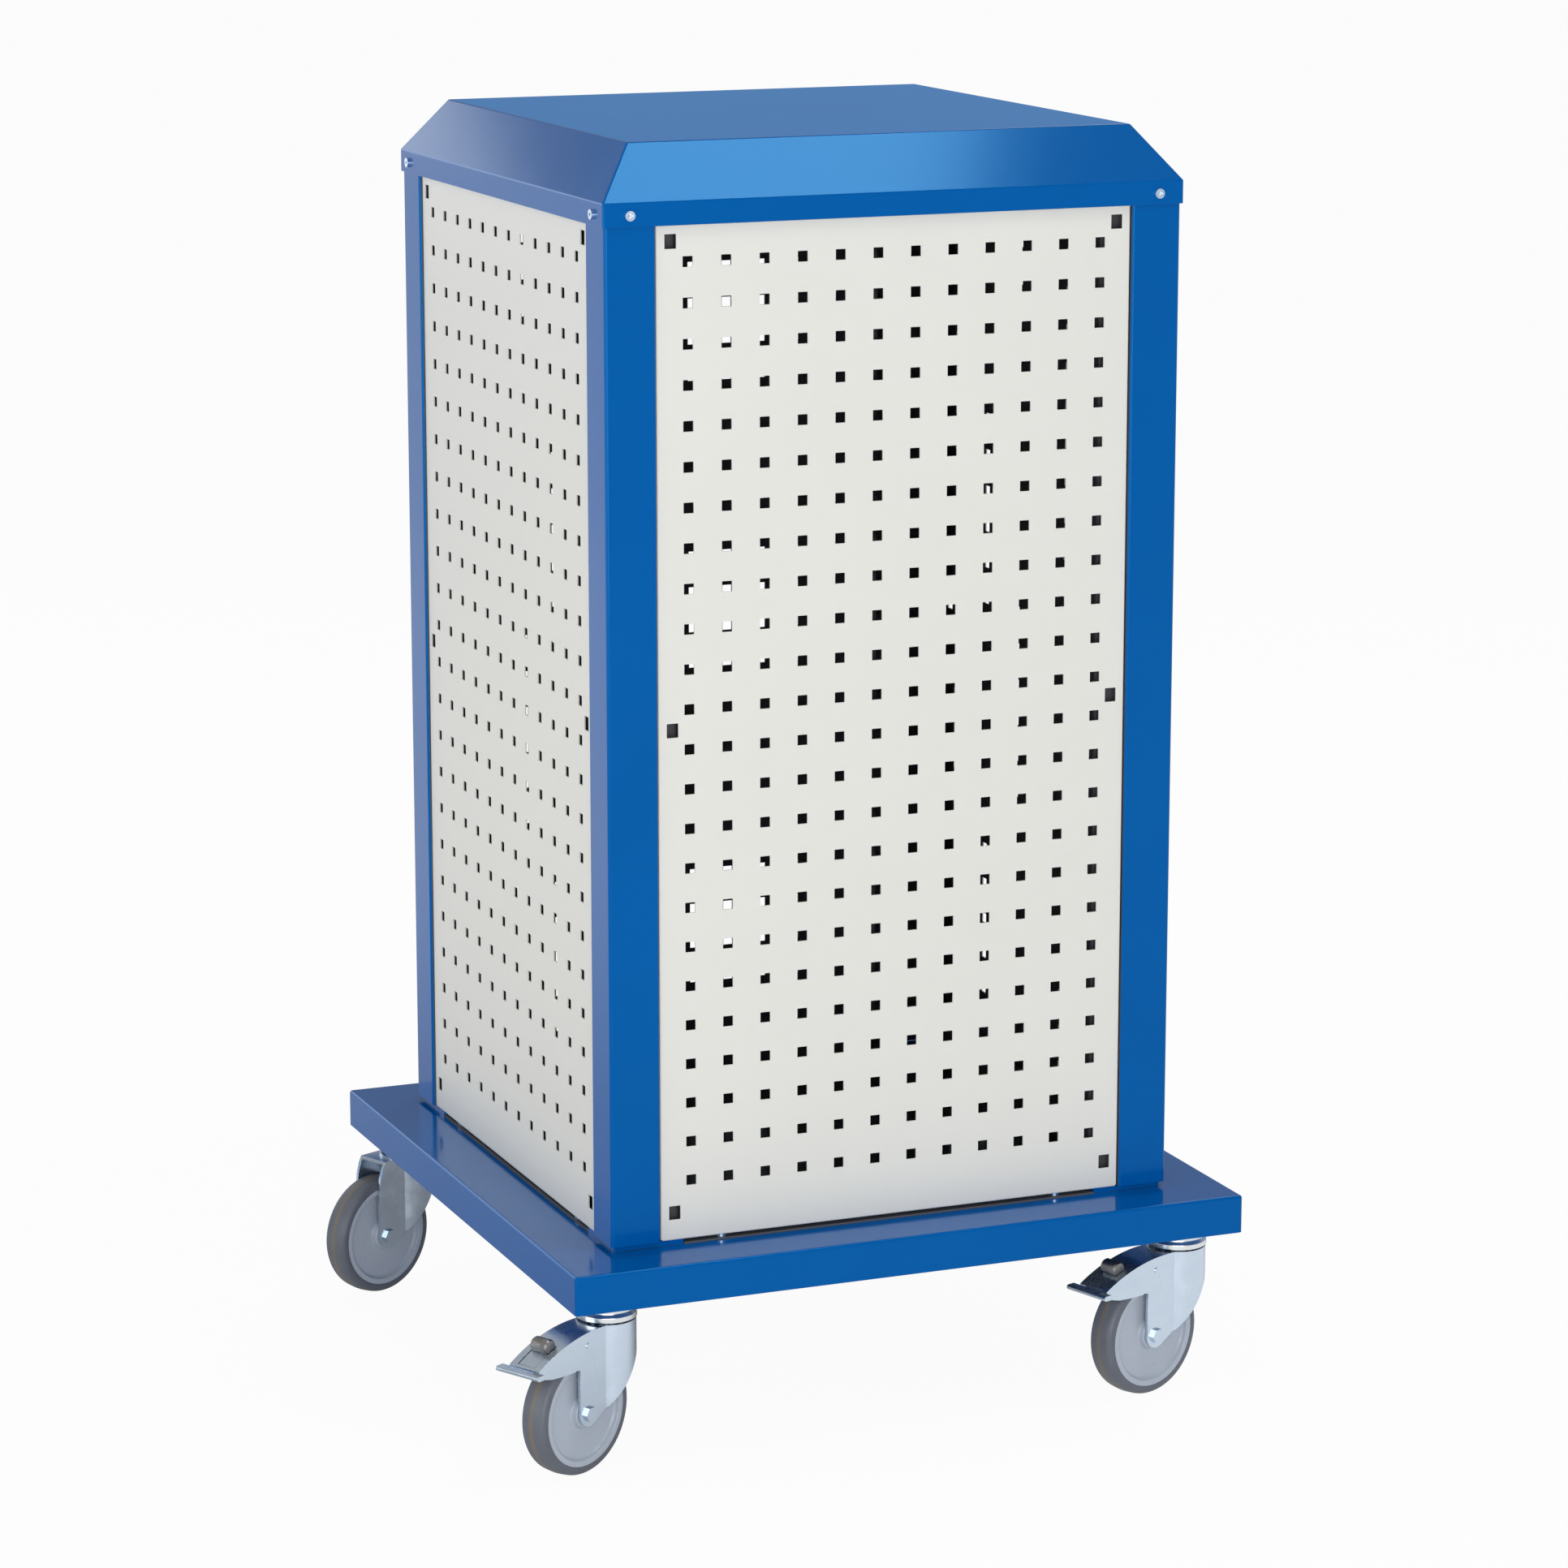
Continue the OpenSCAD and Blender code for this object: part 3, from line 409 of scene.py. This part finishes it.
column_x = (np.arange(hole_columns) - (hole_columns - 1) / 2) * hole_pitch
row_z = (np.arange(hole_rows) - (hole_rows - 1) / 2) * hole_pitch
fixing_x = np.array([-1, 1]) * (panel_half_w - fixing_inset)
fixing_z = np.array([fixing_foot - panel_half_h, 0, panel_half_h - fixing_top])
both = np.array([-0.5, 0.5])
line_x = np.sort(np.concatenate([
    np.add.outer(column_x, hole_side * both), np.add.outer(fixing_x, fixing_w * both)]), axis=None)
line_z = np.sort(np.concatenate([
    np.add.outer(row_z, hole_side * both), np.add.outer(fixing_z, fixing_h * both)]), axis=None)
across_x = folded_lines(line_x, panel_half_w)
across_z = folded_lines(line_z, panel_half_h)
cell_x = (across_x[1:, 0] + across_x[:-1, 0]) / 2
cell_z = (across_z[1:, 0] + across_z[:-1, 0]) / 2
in_column = (np.abs(cell_x[:, None] - column_x) < hole_side / 2).any(1)
in_row = (np.abs(cell_z[:, None] - row_z) < hole_side / 2).any(1)
in_fixing_x = (np.abs(cell_x[:, None] - fixing_x) < fixing_w / 2).any(1)
in_fixing_z = (np.abs(cell_z[:, None] - fixing_z) < fixing_h / 2).any(1)
in_fold_x = np.abs(cell_x) > panel_half_w - panel_bend
in_fold_z = np.abs(cell_z) > panel_half_h - panel_bend
punched = in_row[:, None] & in_column | in_fixing_z[:, None] & in_fixing_x | in_fold_z[:, None] & in_fold_x
panel_points = np.stack(np.broadcast_arrays(
    across_x[None, :, 0], panel_face + across_x[None, :, 1] + across_z[:, None, 1],
    panel_middle + across_z[:, None, 0]), axis=-1)
panel_faces = np.array(grid_faces(len(across_z), len(across_x)))[~punched.ravel()].tolist()
# Painted shade: the panels' inner sides get the dark coat.
for quarter, side in enumerate(("front", "right", "back", "left")):
    finished_piece(
        "panel_punched_" + side, turned(panel_points, quarter), panel_faces, grey_coat, "tower",
        ["panel_" + side], bevel=0.0003, wall=panel_sheet, inside=painted_shade)


# Hooks behind the panels
# Small steel tongues welded behind the folded edges, which drop into slots in the posts.
def plated_metal(name, dark, light, roughness, settings, streaks=60.0):
    """Bright plated metal: its colour and gloss drift between two tones in soft clouds, with fine
    rolling marks as a slight bump."""
    made, tree, shader = surface_material(name, {"Metallic": 1.0, **settings})
    place = tree.nodes.new("ShaderNodeTexCoord")
    cloud = tree.nodes.new("ShaderNodeTexNoise")
    cloud.inputs["Scale"].default_value = streaks
    cloud.inputs["Detail"].default_value = 4.0
    fine = tree.nodes.new("ShaderNodeTexNoise")
    fine.inputs["Scale"].default_value = 900.0
    tone = tree.nodes.new("ShaderNodeMix")
    tone.data_type = "RGBA"
    tone.inputs["A"].default_value = (*dark, 1)
    tone.inputs["B"].default_value = (*light, 1)
    gloss = tree.nodes.new("ShaderNodeMapRange")
    gloss.inputs["From Min"].default_value = 0.3
    gloss.inputs["From Max"].default_value = 0.7
    gloss.inputs["To Min"].default_value = roughness[0]
    gloss.inputs["To Max"].default_value = roughness[1]
    dents = tree.nodes.new("ShaderNodeBump")
    dents.inputs["Distance"].default_value = 0.00001
    tree.links.new(place.outputs["Object"], cloud.inputs["Vector"])
    tree.links.new(place.outputs["Object"], fine.inputs["Vector"])
    tree.links.new(cloud.outputs["Fac"], tone.inputs["Factor"])
    tree.links.new(cloud.outputs["Fac"], gloss.inputs["Value"])
    tree.links.new(fine.outputs["Fac"], dents.inputs["Height"])
    tree.links.new(tone.outputs["Result"], shader.inputs["Base Color"])
    tree.links.new(gloss.outputs["Result"], shader.inputs["Roughness"])
    tree.links.new(dents.outputs["Normal"], shader.inputs["Normal"])
    return made


bright_zinc = plated_metal("bright zinc", (0.56, 0.66, 0.78), (0.70, 0.79, 0.89), (0.18, 0.32), {})
turned_steel = plated_metal("turned steel", (0.40, 0.41, 0.42), (0.56, 0.57, 0.58), (0.22, 0.36), {})
chrome_ring = plated_metal("polished race", (0.76, 0.78, 0.80), (0.84, 0.86, 0.87), (0.18, 0.26), {})
dress_node("panel_hooks", turned_steel)


# Roof cap
# One sheet folded into an upright skirt, four sloping sides and a flat top, with welded and ground
# hips, in the same blue coat. It sits over the posts and panels like a lid.
roof_low, roof_high = np.array(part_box("roof_cap"))
roof_half = roof_high[0]
roof_sheet = 0.0015
roof_skirt = 0.022
roof_run = 0.0385
hip_radius = 0.0016
roof_bend = 0.0025
roof_inner_bend = 0.0012
roof_edge = 0.0004
slope = math.atan2(roof_high[2] - roof_low[2] - roof_skirt, roof_run)
inner_shoulder = roof_low[2] + roof_skirt - roof_sheet * math.tan((math.pi / 2 - slope) / 2)
inner_ridge = roof_run + roof_sheet * math.tan(slope / 2)
roof_centre = roof_half - flat_half
roof_profile = rounded_path(
    [(roof_centre, roof_high[2]), (roof_run, roof_high[2]), (0, roof_low[2] + roof_skirt), (0, roof_low[2]),
     (roof_sheet, roof_low[2]), (roof_sheet, inner_shoulder), (inner_ridge, roof_high[2] - roof_sheet),
     (roof_centre, roof_high[2] - roof_sheet)],
    [roof_bend, roof_bend, roof_edge, roof_edge, roof_inner_bend, roof_inner_bend])
roof_radius = np.full(len(roof_profile), hip_radius)
roof_rings = square_rings(roof_half, roof_profile, roof_radius)
finished_piece(
    "roof_cap_folded", roof_rings, grid_faces(*roof_rings.shape[:2], columns_wrap=True, caps=True),
    blue_coat, "tower", ["roof_cap"])
dress_node("roof_screws", bright_zinc, bevel=0.0004)
dress_node("base_bolts", bright_zinc, bevel=0.0004)
dress_node("castor_bolts", bright_zinc)


# Castors
# Pressed and zinc-plated swivel forks on a ball race under a polished, turned head. The two front
# ones have an arm with a foot pedal, held on a riveted pin and a leaf spring.
castors = {
    "front_left": (-1, -1, 27.7), "front_right": (1, -1, 18.6),
    "back_left": (-1, 1, 24.3), "back_right": (1, 1, 22.0)}
braked = ("front_left", "front_right")
castor_axis = 0.301
castor_top = float(tray_low[2])
crown_top = 0.143
axle_u = 0.045
axle_h = 0.062


def at_castor(points, place):
    """Points given as (u, across, height) from a swivel axis, turned by its trail angle t: x is
    u cos t - v sin t and y is u sin t + v cos t, with t counted from the -X direction."""
    side_x, side_y, trail = castors[place]
    t = math.radians(180 + trail)
    u, v, h = points[..., 0], points[..., 1], points[..., 2]
    x = side_x * castor_axis + u * math.cos(t) - v * math.sin(t)
    y = side_y * castor_axis + u * math.sin(t) + v * math.cos(t)
    return np.stack([x, y, h], axis=-1)


def round_swivel(profile, steps):
    """Surface turned about the swivel axis: a profile of (radius, height) carried round a circle,
    at u = r cos a and across = r sin a."""
    a = np.linspace(0, 2 * np.pi, steps, endpoint=False)[None]
    r, z = profile[:, :1], profile[:, 1:]
    return np.stack(np.broadcast_arrays(r * np.cos(a), r * np.sin(a), z), axis=-1)


head_profile = rounded_path(
    [(0.020, castor_top), (0.0270, castor_top), (0.0272, 0.1530), (0.0294, 0.1495), (0.0295, 0.1444),
     (0.0268, 0.1444), (0.0268, 0.1493), (0.0110, 0.1493), (0.0110, 0.1397), (0.0150, 0.1397),
     (0.0150, 0.1367), (0.0063, 0.1367), (0.0063, castor_top), (0.020, castor_top)],
    [0.0008, 0.0030, 0.0016, 0.0012, 0.0004, 0.0008, 0.0008, 0.0003, 0.0003, 0.0003, 0.0003, 0.0003])[:-1]
head_steps = 96
for place in castors:
    head_points = round_swivel(head_profile, head_steps)
    finished_piece(
        "swivel_head_turned_" + place, at_castor(head_points, place),
        grid_faces(*head_points.shape[:2], rows_wrap=True, columns_wrap=True), chrome_ring, "tower",
        ["swivel_head_" + place])
    dress_node("fork_" + place, bright_zinc, bevel=0.0010)
    dress_node("ball_ring_" + place, turned_steel)
    dress_node("axle_tube_" + place, turned_steel)
    dress_node("axle_bolt_" + place, bright_zinc, bevel=0.0006)
for place in braked:
    dress_node("pedal_" + place, bright_zinc, bevel=0.0006)
    dress_node("pivot_pin_" + place, bright_zinc)
    dress_node("brake_spring_" + place, turned_steel)


# Release rollers
# A short turned steel roller with a cross-rolled grip and plain bevelled ends, which lies in a seat
# on top of the pedal.
roller_u = 0.0885
roller_r = 0.0075
roller_half = 0.010
roller_bevel = 0.0012
roller_lift = 0.0038
arm_bow = 0.172
arm_bow_u = 0.030
roller_h = crown_top - arm_bow + math.sqrt(arm_bow ** 2 - (roller_u - arm_bow_u) ** 2) + roller_lift
grip_half = 0.0082
grip_pitch = 0.0012
grip_depth = 0.00035
grip_ridges = 20


def grip_surface(rows, steps):
    """Roller surface on a grid of angle a and place v along it: inside the grip the radius drops by
    the lesser of |sin| of two crossed waves, n a / 2 + k v and n a / 2 - k v, times the depth."""
    v = np.linspace(-grip_half, grip_half, rows)
    v = np.concatenate([[-roller_half, -grip_half], v, [grip_half, roller_half]])
    r = np.full_like(v, roller_r)
    r[[0, -1]] = roller_r - roller_bevel
    a = np.linspace(0, 2 * np.pi, steps, endpoint=False)
    wave = np.pi * v[:, None] / grip_pitch
    cut = np.minimum(abs(np.sin(grip_ridges * a / 2 + wave)), abs(np.sin(grip_ridges * a / 2 - wave)))
    gripped = (np.abs(v) < grip_half)[:, None]
    radius = r[:, None] - grip_depth * np.where(gripped, 1 - cut, 0)
    return np.stack(np.broadcast_arrays(
        roller_u + radius * np.cos(a), v[:, None], roller_h + radius * np.sin(a)), axis=-1)


worn_steel = plated_metal("worn roller steel", (0.20, 0.19, 0.18), (0.34, 0.33, 0.32), (0.24, 0.4), {})
for place in braked:
    grip_points = grip_surface(56, 160)
    finished_piece(
        "release_roller_gripped_" + place, at_castor(grip_points, place),
        grid_faces(*grip_points.shape[:2], columns_wrap=True, caps=True), worn_steel, "brake_" + place,
        ["release_roller_" + place])


# Tyres
# Soft grey rubber with round shoulders, moulded round the wheel centre. The middle of the tread
# carries a brownish band, in patches.
def round_axle(profile, steps):
    """Surface turned about the axle: a profile of (radius, across) carried round a circle, at
    u = axle + r cos a and height = axle + r sin a."""
    a = np.linspace(0, 2 * np.pi, steps, endpoint=False)[None]
    r, v = profile[:, :1], profile[:, 1:]
    return np.stack(np.broadcast_arrays(axle_u + r * np.cos(a), v, axle_h + r * np.sin(a)), axis=-1)


tread_r = 0.062
tread_half = 0.0145
tread_drop = 0.0015
tread_crown = 0.03
tread_shoulder = 0.0062
tread_edge = 0.0004
rim_r = 0.0525
rubber_made, rubber_tree, rubber_shader = surface_material(
    "grey tyre rubber", {"Roughness": 0.42, "IOR": 1.5})
rubber_uv = rubber_tree.nodes.new("ShaderNodeUVMap")
rubber_uv.uv_map = "tread"
rubber_split = rubber_tree.nodes.new("ShaderNodeSeparateXYZ")
rubber_band = rubber_tree.nodes.new("ShaderNodeMapRange")
rubber_band.interpolation_type = "SMOOTHSTEP"
rubber_band.inputs["From Min"].default_value = 0.26
rubber_band.inputs["From Max"].default_value = 0.06
rubber_offset = rubber_tree.nodes.new("ShaderNodeMath")
rubber_offset.operation = "ABSOLUTE"
rubber_place = rubber_tree.nodes.new("ShaderNodeTexCoord")
rubber_cloud = rubber_tree.nodes.new("ShaderNodeTexNoise")
rubber_cloud.inputs["Scale"].default_value = 45.0
rubber_cloud.inputs["Detail"].default_value = 6.0
rubber_patch = rubber_tree.nodes.new("ShaderNodeMapRange")
rubber_patch.inputs["From Min"].default_value = 0.25
rubber_patch.inputs["From Max"].default_value = 0.6
rubber_patch.inputs["To Min"].default_value = 0.35
# Brownish band along the middle of the tread, in patches.
rubber_brown_band = rubber_tree.nodes.new("ShaderNodeMath")
rubber_brown_band.operation = "MULTIPLY"
rubber_grey = rubber_tree.nodes.new("ShaderNodeMix")
rubber_grey.data_type = "RGBA"
rubber_grey.inputs["A"].default_value = (0.105, 0.115, 0.138, 1)
rubber_grey.inputs["B"].default_value = (0.140, 0.150, 0.175, 1)
rubber_colour = rubber_tree.nodes.new("ShaderNodeMix")
rubber_colour.data_type = "RGBA"
rubber_colour.inputs["B"].default_value = (0.19, 0.155, 0.11, 1)
rubber_bump = rubber_tree.nodes.new("ShaderNodeBump")
rubber_bump.inputs["Distance"].default_value = 0.00003
rubber_fine = rubber_tree.nodes.new("ShaderNodeTexNoise")
rubber_fine.inputs["Scale"].default_value = 700.0
rubber_tree.links.new(rubber_uv.outputs["UV"], rubber_split.inputs["Vector"])
rubber_tree.links.new(rubber_split.outputs["Y"], rubber_offset.inputs[0])
rubber_tree.links.new(rubber_offset.outputs[0], rubber_band.inputs["Value"])
rubber_tree.links.new(rubber_place.outputs["Object"], rubber_cloud.inputs["Vector"])
rubber_tree.links.new(rubber_place.outputs["Object"], rubber_fine.inputs["Vector"])
rubber_tree.links.new(rubber_cloud.outputs["Fac"], rubber_patch.inputs["Value"])
rubber_tree.links.new(rubber_band.outputs["Result"], rubber_brown_band.inputs[0])
rubber_tree.links.new(rubber_patch.outputs["Result"], rubber_brown_band.inputs[1])
rubber_tree.links.new(rubber_cloud.outputs["Fac"], rubber_grey.inputs["Factor"])
rubber_tree.links.new(rubber_brown_band.outputs[0], rubber_colour.inputs["Factor"])
rubber_tree.links.new(rubber_grey.outputs["Result"], rubber_colour.inputs["A"])
rubber_tree.links.new(rubber_colour.outputs["Result"], rubber_shader.inputs["Base Color"])
rubber_tree.links.new(rubber_fine.outputs["Fac"], rubber_bump.inputs["Height"])
rubber_tree.links.new(rubber_bump.outputs["Normal"], rubber_shader.inputs["Normal"])
tread_profile = rounded_path(
    [(rim_r, 0), (rim_r, -tread_half), (tread_r - tread_drop, -tread_half), (tread_r, 0),
     (tread_r - tread_drop, tread_half), (rim_r, tread_half), (rim_r, 0)],
    [tread_edge, tread_shoulder, tread_crown, tread_shoulder, tread_edge], steps=7)[:-1]
tread_steps = 144
for place in castors:
    tread_points = round_axle(tread_profile, tread_steps)
    tread = finished_piece(
        "tread_moulded_" + place, at_castor(tread_points, place),
        grid_faces(*tread_points.shape[:2], rows_wrap=True, columns_wrap=True), rubber_made,
        "wheel_" + place, ["tread_" + place])
    tread_uv = tread.data.uv_layers.new(name="tread")
    corner = np.empty(len(tread.data.loops), np.int64)
    tread.data.loops.foreach_get("vertex_index", corner)
    over, along = np.divmod(corner, tread_steps)
    tread_places = np.stack([along / tread_steps, tread_profile[over, 1] / tread_half], axis=1)
    tread_uv.data.foreach_set("uv", tread_places.ravel())


# Wheel centres
# Grey moulded plastic with a flat ring beside the tyre, a dished web and a hub. Round the web stand
# small marks left by the mould's ejector pins.
hub_half = 0.015
hub_r = 0.014
ring_step = 0.0003
ring_w = 0.006
web_recess = 0.005
ring_half = tread_half - ring_step
ring_inner = rim_r - ring_w
web_half = ring_half - web_recess
bore_r = 0.00605
hub_draft = 0.0015
ring_foot = 0.001
ring_lip = 0.0005
plastic = powder_coat(
    "grey wheel plastic", dark=(0.43, 0.47, 0.535), light=(0.49, 0.53, 0.595), roughness=(0.16, 0.26),
    ripple=300.0, grain=0.3, settings={"IOR": 1.5}, peel=0.00001)
half_profile = rounded_path(
    [(bore_r, 0), (bore_r, -hub_half), (hub_r, -hub_half), (hub_r + hub_draft, -web_half),
     (ring_inner - ring_foot, -web_half), (ring_inner + ring_lip, -ring_half), (rim_r, -ring_half),
     (rim_r, 0)],
    [0.0004, 0.0012, 0.0025, 0.0035, 0.0012, 0.0004], steps=5)
centre_profile = np.concatenate([half_profile, (half_profile * (1, -1))[-2:0:-1]])
mark_ring = 0.0335
mark_r = 0.0017
mark_high = 0.0008
mark_sink = 0.0002
mark_turn = 0.35
mark_count = 6


def mould_marks(side, rows=4, steps=14):
    """Low domes on one side of the web: round each of the marks' middles, on a ring about the axle,
    a dome at radius q m and height h cos(90 q) for q from 1 down to 0."""
    q = np.linspace(1, 0.02, rows)[:, None]
    a = np.linspace(0, 2 * np.pi, steps, endpoint=False)[None]
    about = np.linspace(0, 2 * np.pi, mark_count, endpoint=False)[:, None, None] + mark_turn
    u = axle_u + mark_ring * np.cos(about) + mark_r * q * np.cos(a)
    h = axle_h + mark_ring * np.sin(about) + mark_r * q * np.sin(a)
    v = side * (web_half - mark_sink + mark_high * np.cos(np.pi / 2 * q)) + 0 * u
    return np.stack([u, v, h], axis=-1)


for place in castors:
    centre_points = round_axle(centre_profile, 120)
    finished_piece(
        "wheel_centre_moulded_" + place, at_castor(centre_points, place),
        grid_faces(*centre_points.shape[:2], rows_wrap=True, columns_wrap=True), plastic,
        "wheel_" + place, ["wheel_centre_" + place])
    marks = np.concatenate([mould_marks(-1), mould_marks(1)])
    dome = np.array(grid_faces(*marks.shape[1:3], columns_wrap=True))
    dome_size = marks.shape[1] * marks.shape[2]
    first = dome_size * np.arange(len(marks))[:, None]
    domes = (dome + first[:, :, None]).reshape(-1, 4).tolist()
    tops = (first + np.arange(dome_size - marks.shape[2], dome_size)).tolist()
    foots = (first + np.arange(marks.shape[2])[::-1]).tolist()
    finished_piece(
        "mould_marks_" + place, at_castor(marks, place), domes + tops + foots, plastic,
        "wheel_" + place, [])


# Floor, light and camera
# A pale studio floor under soft boxes, seen from the camera's side of the room. Camera rays see
# the floor nearly white with a faint shadow. For glossy rays the floor glows as painted light,
# bright in front and towards the window box at the back left, with a dimmer strip between.
floor_mesh = bpy.data.meshes.new("floor")
floor_mesh.from_pydata([(-30, -30, 0), (30, -30, 0), (30, 30, 0), (-30, 30, 0)], [], [(0, 1, 2, 3)])
floor = bpy.data.objects.new("floor", floor_mesh)
bpy.context.scene.collection.objects.link(floor)
floor_made = bpy.data.materials.new("pale floor")
floor_made.use_nodes = True
floor_tree = floor_made.node_tree
floor_tree.nodes.clear()
floor_out = floor_tree.nodes.new("ShaderNodeOutputMaterial")
floor_diffuse = floor_tree.nodes.new("ShaderNodeBsdfDiffuse")
floor_diffuse.inputs["Color"].default_value = (0.9, 0.9, 0.9, 1)
floor_white = floor_tree.nodes.new("ShaderNodeEmission")
# Painted light: for glossy rays the floor glows, brighter in front and towards the back left.
floor_painted_light = floor_tree.nodes.new("ShaderNodeEmission")
floor_place = floor_tree.nodes.new("ShaderNodeTexCoord")
floor_way = floor_tree.nodes.new("ShaderNodeVectorMath")
floor_way.operation = "DOT_PRODUCT"
floor_way.inputs[1].default_value = (-0.36, 0.93, 0.0)
floor_painted_light_back_left = floor_tree.nodes.new("ShaderNodeMapRange")
floor_painted_light_back_left.interpolation_type = "SMOOTHSTEP"
floor_painted_light_back_left.inputs["From Min"].default_value = 0.2
floor_painted_light_back_left.inputs["From Max"].default_value = 2.6
floor_painted_light_back_left.inputs["To Min"].default_value = 0.3
floor_painted_light_back_left.inputs["To Max"].default_value = 1.3
floor_painted_light_front = floor_tree.nodes.new("ShaderNodeMapRange")
floor_painted_light_front.inputs["From Min"].default_value = -0.1
floor_painted_light_front.inputs["From Max"].default_value = -0.45
floor_painted_light_front.inputs["To Max"].default_value = 0.75
floor_painted_light_sum = floor_tree.nodes.new("ShaderNodeMath")
floor_gloss = floor_tree.nodes.new("ShaderNodeMixShader")
floor_mix = floor_tree.nodes.new("ShaderNodeMixShader")
floor_path = floor_tree.nodes.new("ShaderNodeLightPath")
floor_painted_light_share = floor_tree.nodes.new("ShaderNodeMath")
floor_painted_light_share.operation = "MULTIPLY"
floor_painted_light_share.inputs[1].default_value = 0.6
floor_share = floor_tree.nodes.new("ShaderNodeMath")
floor_share.operation = "MULTIPLY"
floor_share.inputs[1].default_value = 0.95
floor_tree.links.new(floor_place.outputs["Object"], floor_way.inputs[0])
floor_tree.links.new(floor_way.outputs["Value"], floor_painted_light_back_left.inputs["Value"])
floor_tree.links.new(floor_way.outputs["Value"], floor_painted_light_front.inputs["Value"])
floor_tree.links.new(floor_painted_light_back_left.outputs["Result"], floor_painted_light_sum.inputs[0])
floor_tree.links.new(floor_painted_light_front.outputs["Result"], floor_painted_light_sum.inputs[1])
floor_tree.links.new(floor_painted_light_sum.outputs[0], floor_painted_light.inputs["Strength"])
floor_tree.links.new(floor_path.outputs["Is Glossy Ray"], floor_painted_light_share.inputs[0])
floor_tree.links.new(floor_painted_light_share.outputs[0], floor_gloss.inputs["Fac"])
floor_tree.links.new(floor_diffuse.outputs[0], floor_gloss.inputs[1])
floor_tree.links.new(floor_painted_light.outputs[0], floor_gloss.inputs[2])
floor_tree.links.new(floor_path.outputs["Is Camera Ray"], floor_share.inputs[0])
floor_tree.links.new(floor_share.outputs[0], floor_mix.inputs["Fac"])
floor_tree.links.new(floor_gloss.outputs[0], floor_mix.inputs[1])
floor_tree.links.new(floor_white.outputs[0], floor_mix.inputs[2])
floor_tree.links.new(floor_mix.outputs[0], floor_out.inputs["Surface"])
floor_mesh.materials.append(floor_made)

world = bpy.data.worlds.new("studio")
bpy.context.scene.world = world
world.use_nodes = True
room = world.node_tree
room.nodes.clear()
room_out = room.nodes.new("ShaderNodeOutputWorld")
room_seen = room.nodes.new("ShaderNodeBackground")
room_seen.inputs["Color"].default_value = (1, 1, 1, 1)
room_light = room.nodes.new("ShaderNodeBackground")
room_mix = room.nodes.new("ShaderNodeMixShader")
room_path = room.nodes.new("ShaderNodeLightPath")
room_place = room.nodes.new("ShaderNodeTexCoord")
room_split = room.nodes.new("ShaderNodeSeparateXYZ")
room_ramp = room.nodes.new("ShaderNodeMapRange")
room_ramp.inputs["From Min"].default_value = 0.05
room_ramp.inputs["From Max"].default_value = 0.9
room_ramp.inputs["To Min"].default_value = 0.28
room_ramp.inputs["To Max"].default_value = 0.5
room_tone = room.nodes.new("ShaderNodeMix")
room_tone.data_type = "RGBA"
room_tone.inputs["A"].default_value = (0.5, 1.1, 2.1, 1)
room_tone.inputs["B"].default_value = (1, 1, 1, 1)
room_fade = room.nodes.new("ShaderNodeMapRange")
room_fade.inputs["From Min"].default_value = 0.1
room_fade.inputs["From Max"].default_value = 0.26
room.links.new(room_place.outputs["Generated"], room_split.inputs["Vector"])
room.links.new(room_split.outputs["Z"], room_ramp.inputs["Value"])
room.links.new(room_split.outputs["Z"], room_fade.inputs["Value"])
room.links.new(room_fade.outputs["Result"], room_tone.inputs["Factor"])
room.links.new(room_tone.outputs["Result"], room_light.inputs["Color"])
room.links.new(room_ramp.outputs["Result"], room_light.inputs["Strength"])
room.links.new(room_path.outputs["Is Camera Ray"], room_mix.inputs["Fac"])
room.links.new(room_light.outputs[0], room_mix.inputs[1])
room.links.new(room_seen.outputs[0], room_mix.inputs[2])
room.links.new(room_mix.outputs[0], room_out.inputs["Surface"])


def look_along(place, aim):
    """Euler angles that point an object's -Z axis from place to aim, with its +Y axis upwards."""
    return (Vector(aim) - Vector(place)).to_track_quat("-Z", "Y").to_euler()


def soft_box(name, place, aim, width, height, radiance):
    """Rectangular lamp that faces its aim; its power is radiance x pi x area."""
    lamp = bpy.data.lights.new(name, "AREA")
    lamp.shape = "RECTANGLE"
    lamp.size = width
    lamp.size_y = height
    lamp.energy = radiance * math.pi * width * height
    obj = bpy.data.objects.new(name, lamp)
    bpy.context.scene.collection.objects.link(obj)
    obj.location = place
    obj.rotation_euler = look_along(place, aim)
    obj.visible_camera = False


soft_box("roof soft box", (0.95, -1.36, 3.9), (0.95, -1.35, 0.0), 0.9, 0.75, 10.0)
soft_box("front soft box", (-1.2, -4.3, 1.1), (0, 0, 0.6), 3.2, 2.1, 3.7)
soft_box("left soft box", (-3.8, -0.8, 1.05), (0, 0, 0.6), 2.2, 2.0, 2.4)
soft_box("back window box", (-1.8, 5.0, 1.75), (-1.7, 0.0, 1.75), 2.9, 1.9, 1.6)
soft_box("right soft box", (2.6, 2.6, 3.6), (0, 0, 0.7), 2.0, 2.0, 2.0)

camera_place = (-1.898, -4.644, 1.671)
camera_aim = (0.0043, 0.0, 0.5724)
photo_focal_pixels = 6303.0
photo_width = 1932.0
camera_data = bpy.data.cameras.new("camera")
camera_data.sensor_width = 36.0
camera_data.lens = photo_focal_pixels / photo_width * camera_data.sensor_width
camera_data.clip_end = 100.0
camera = bpy.data.objects.new("camera", camera_data)
bpy.context.scene.collection.objects.link(camera)
camera.location = camera_place
camera.rotation_euler = look_along(camera_place, camera_aim)
bpy.context.scene.camera = camera
bpy.context.scene.view_settings.view_transform = "Standard"
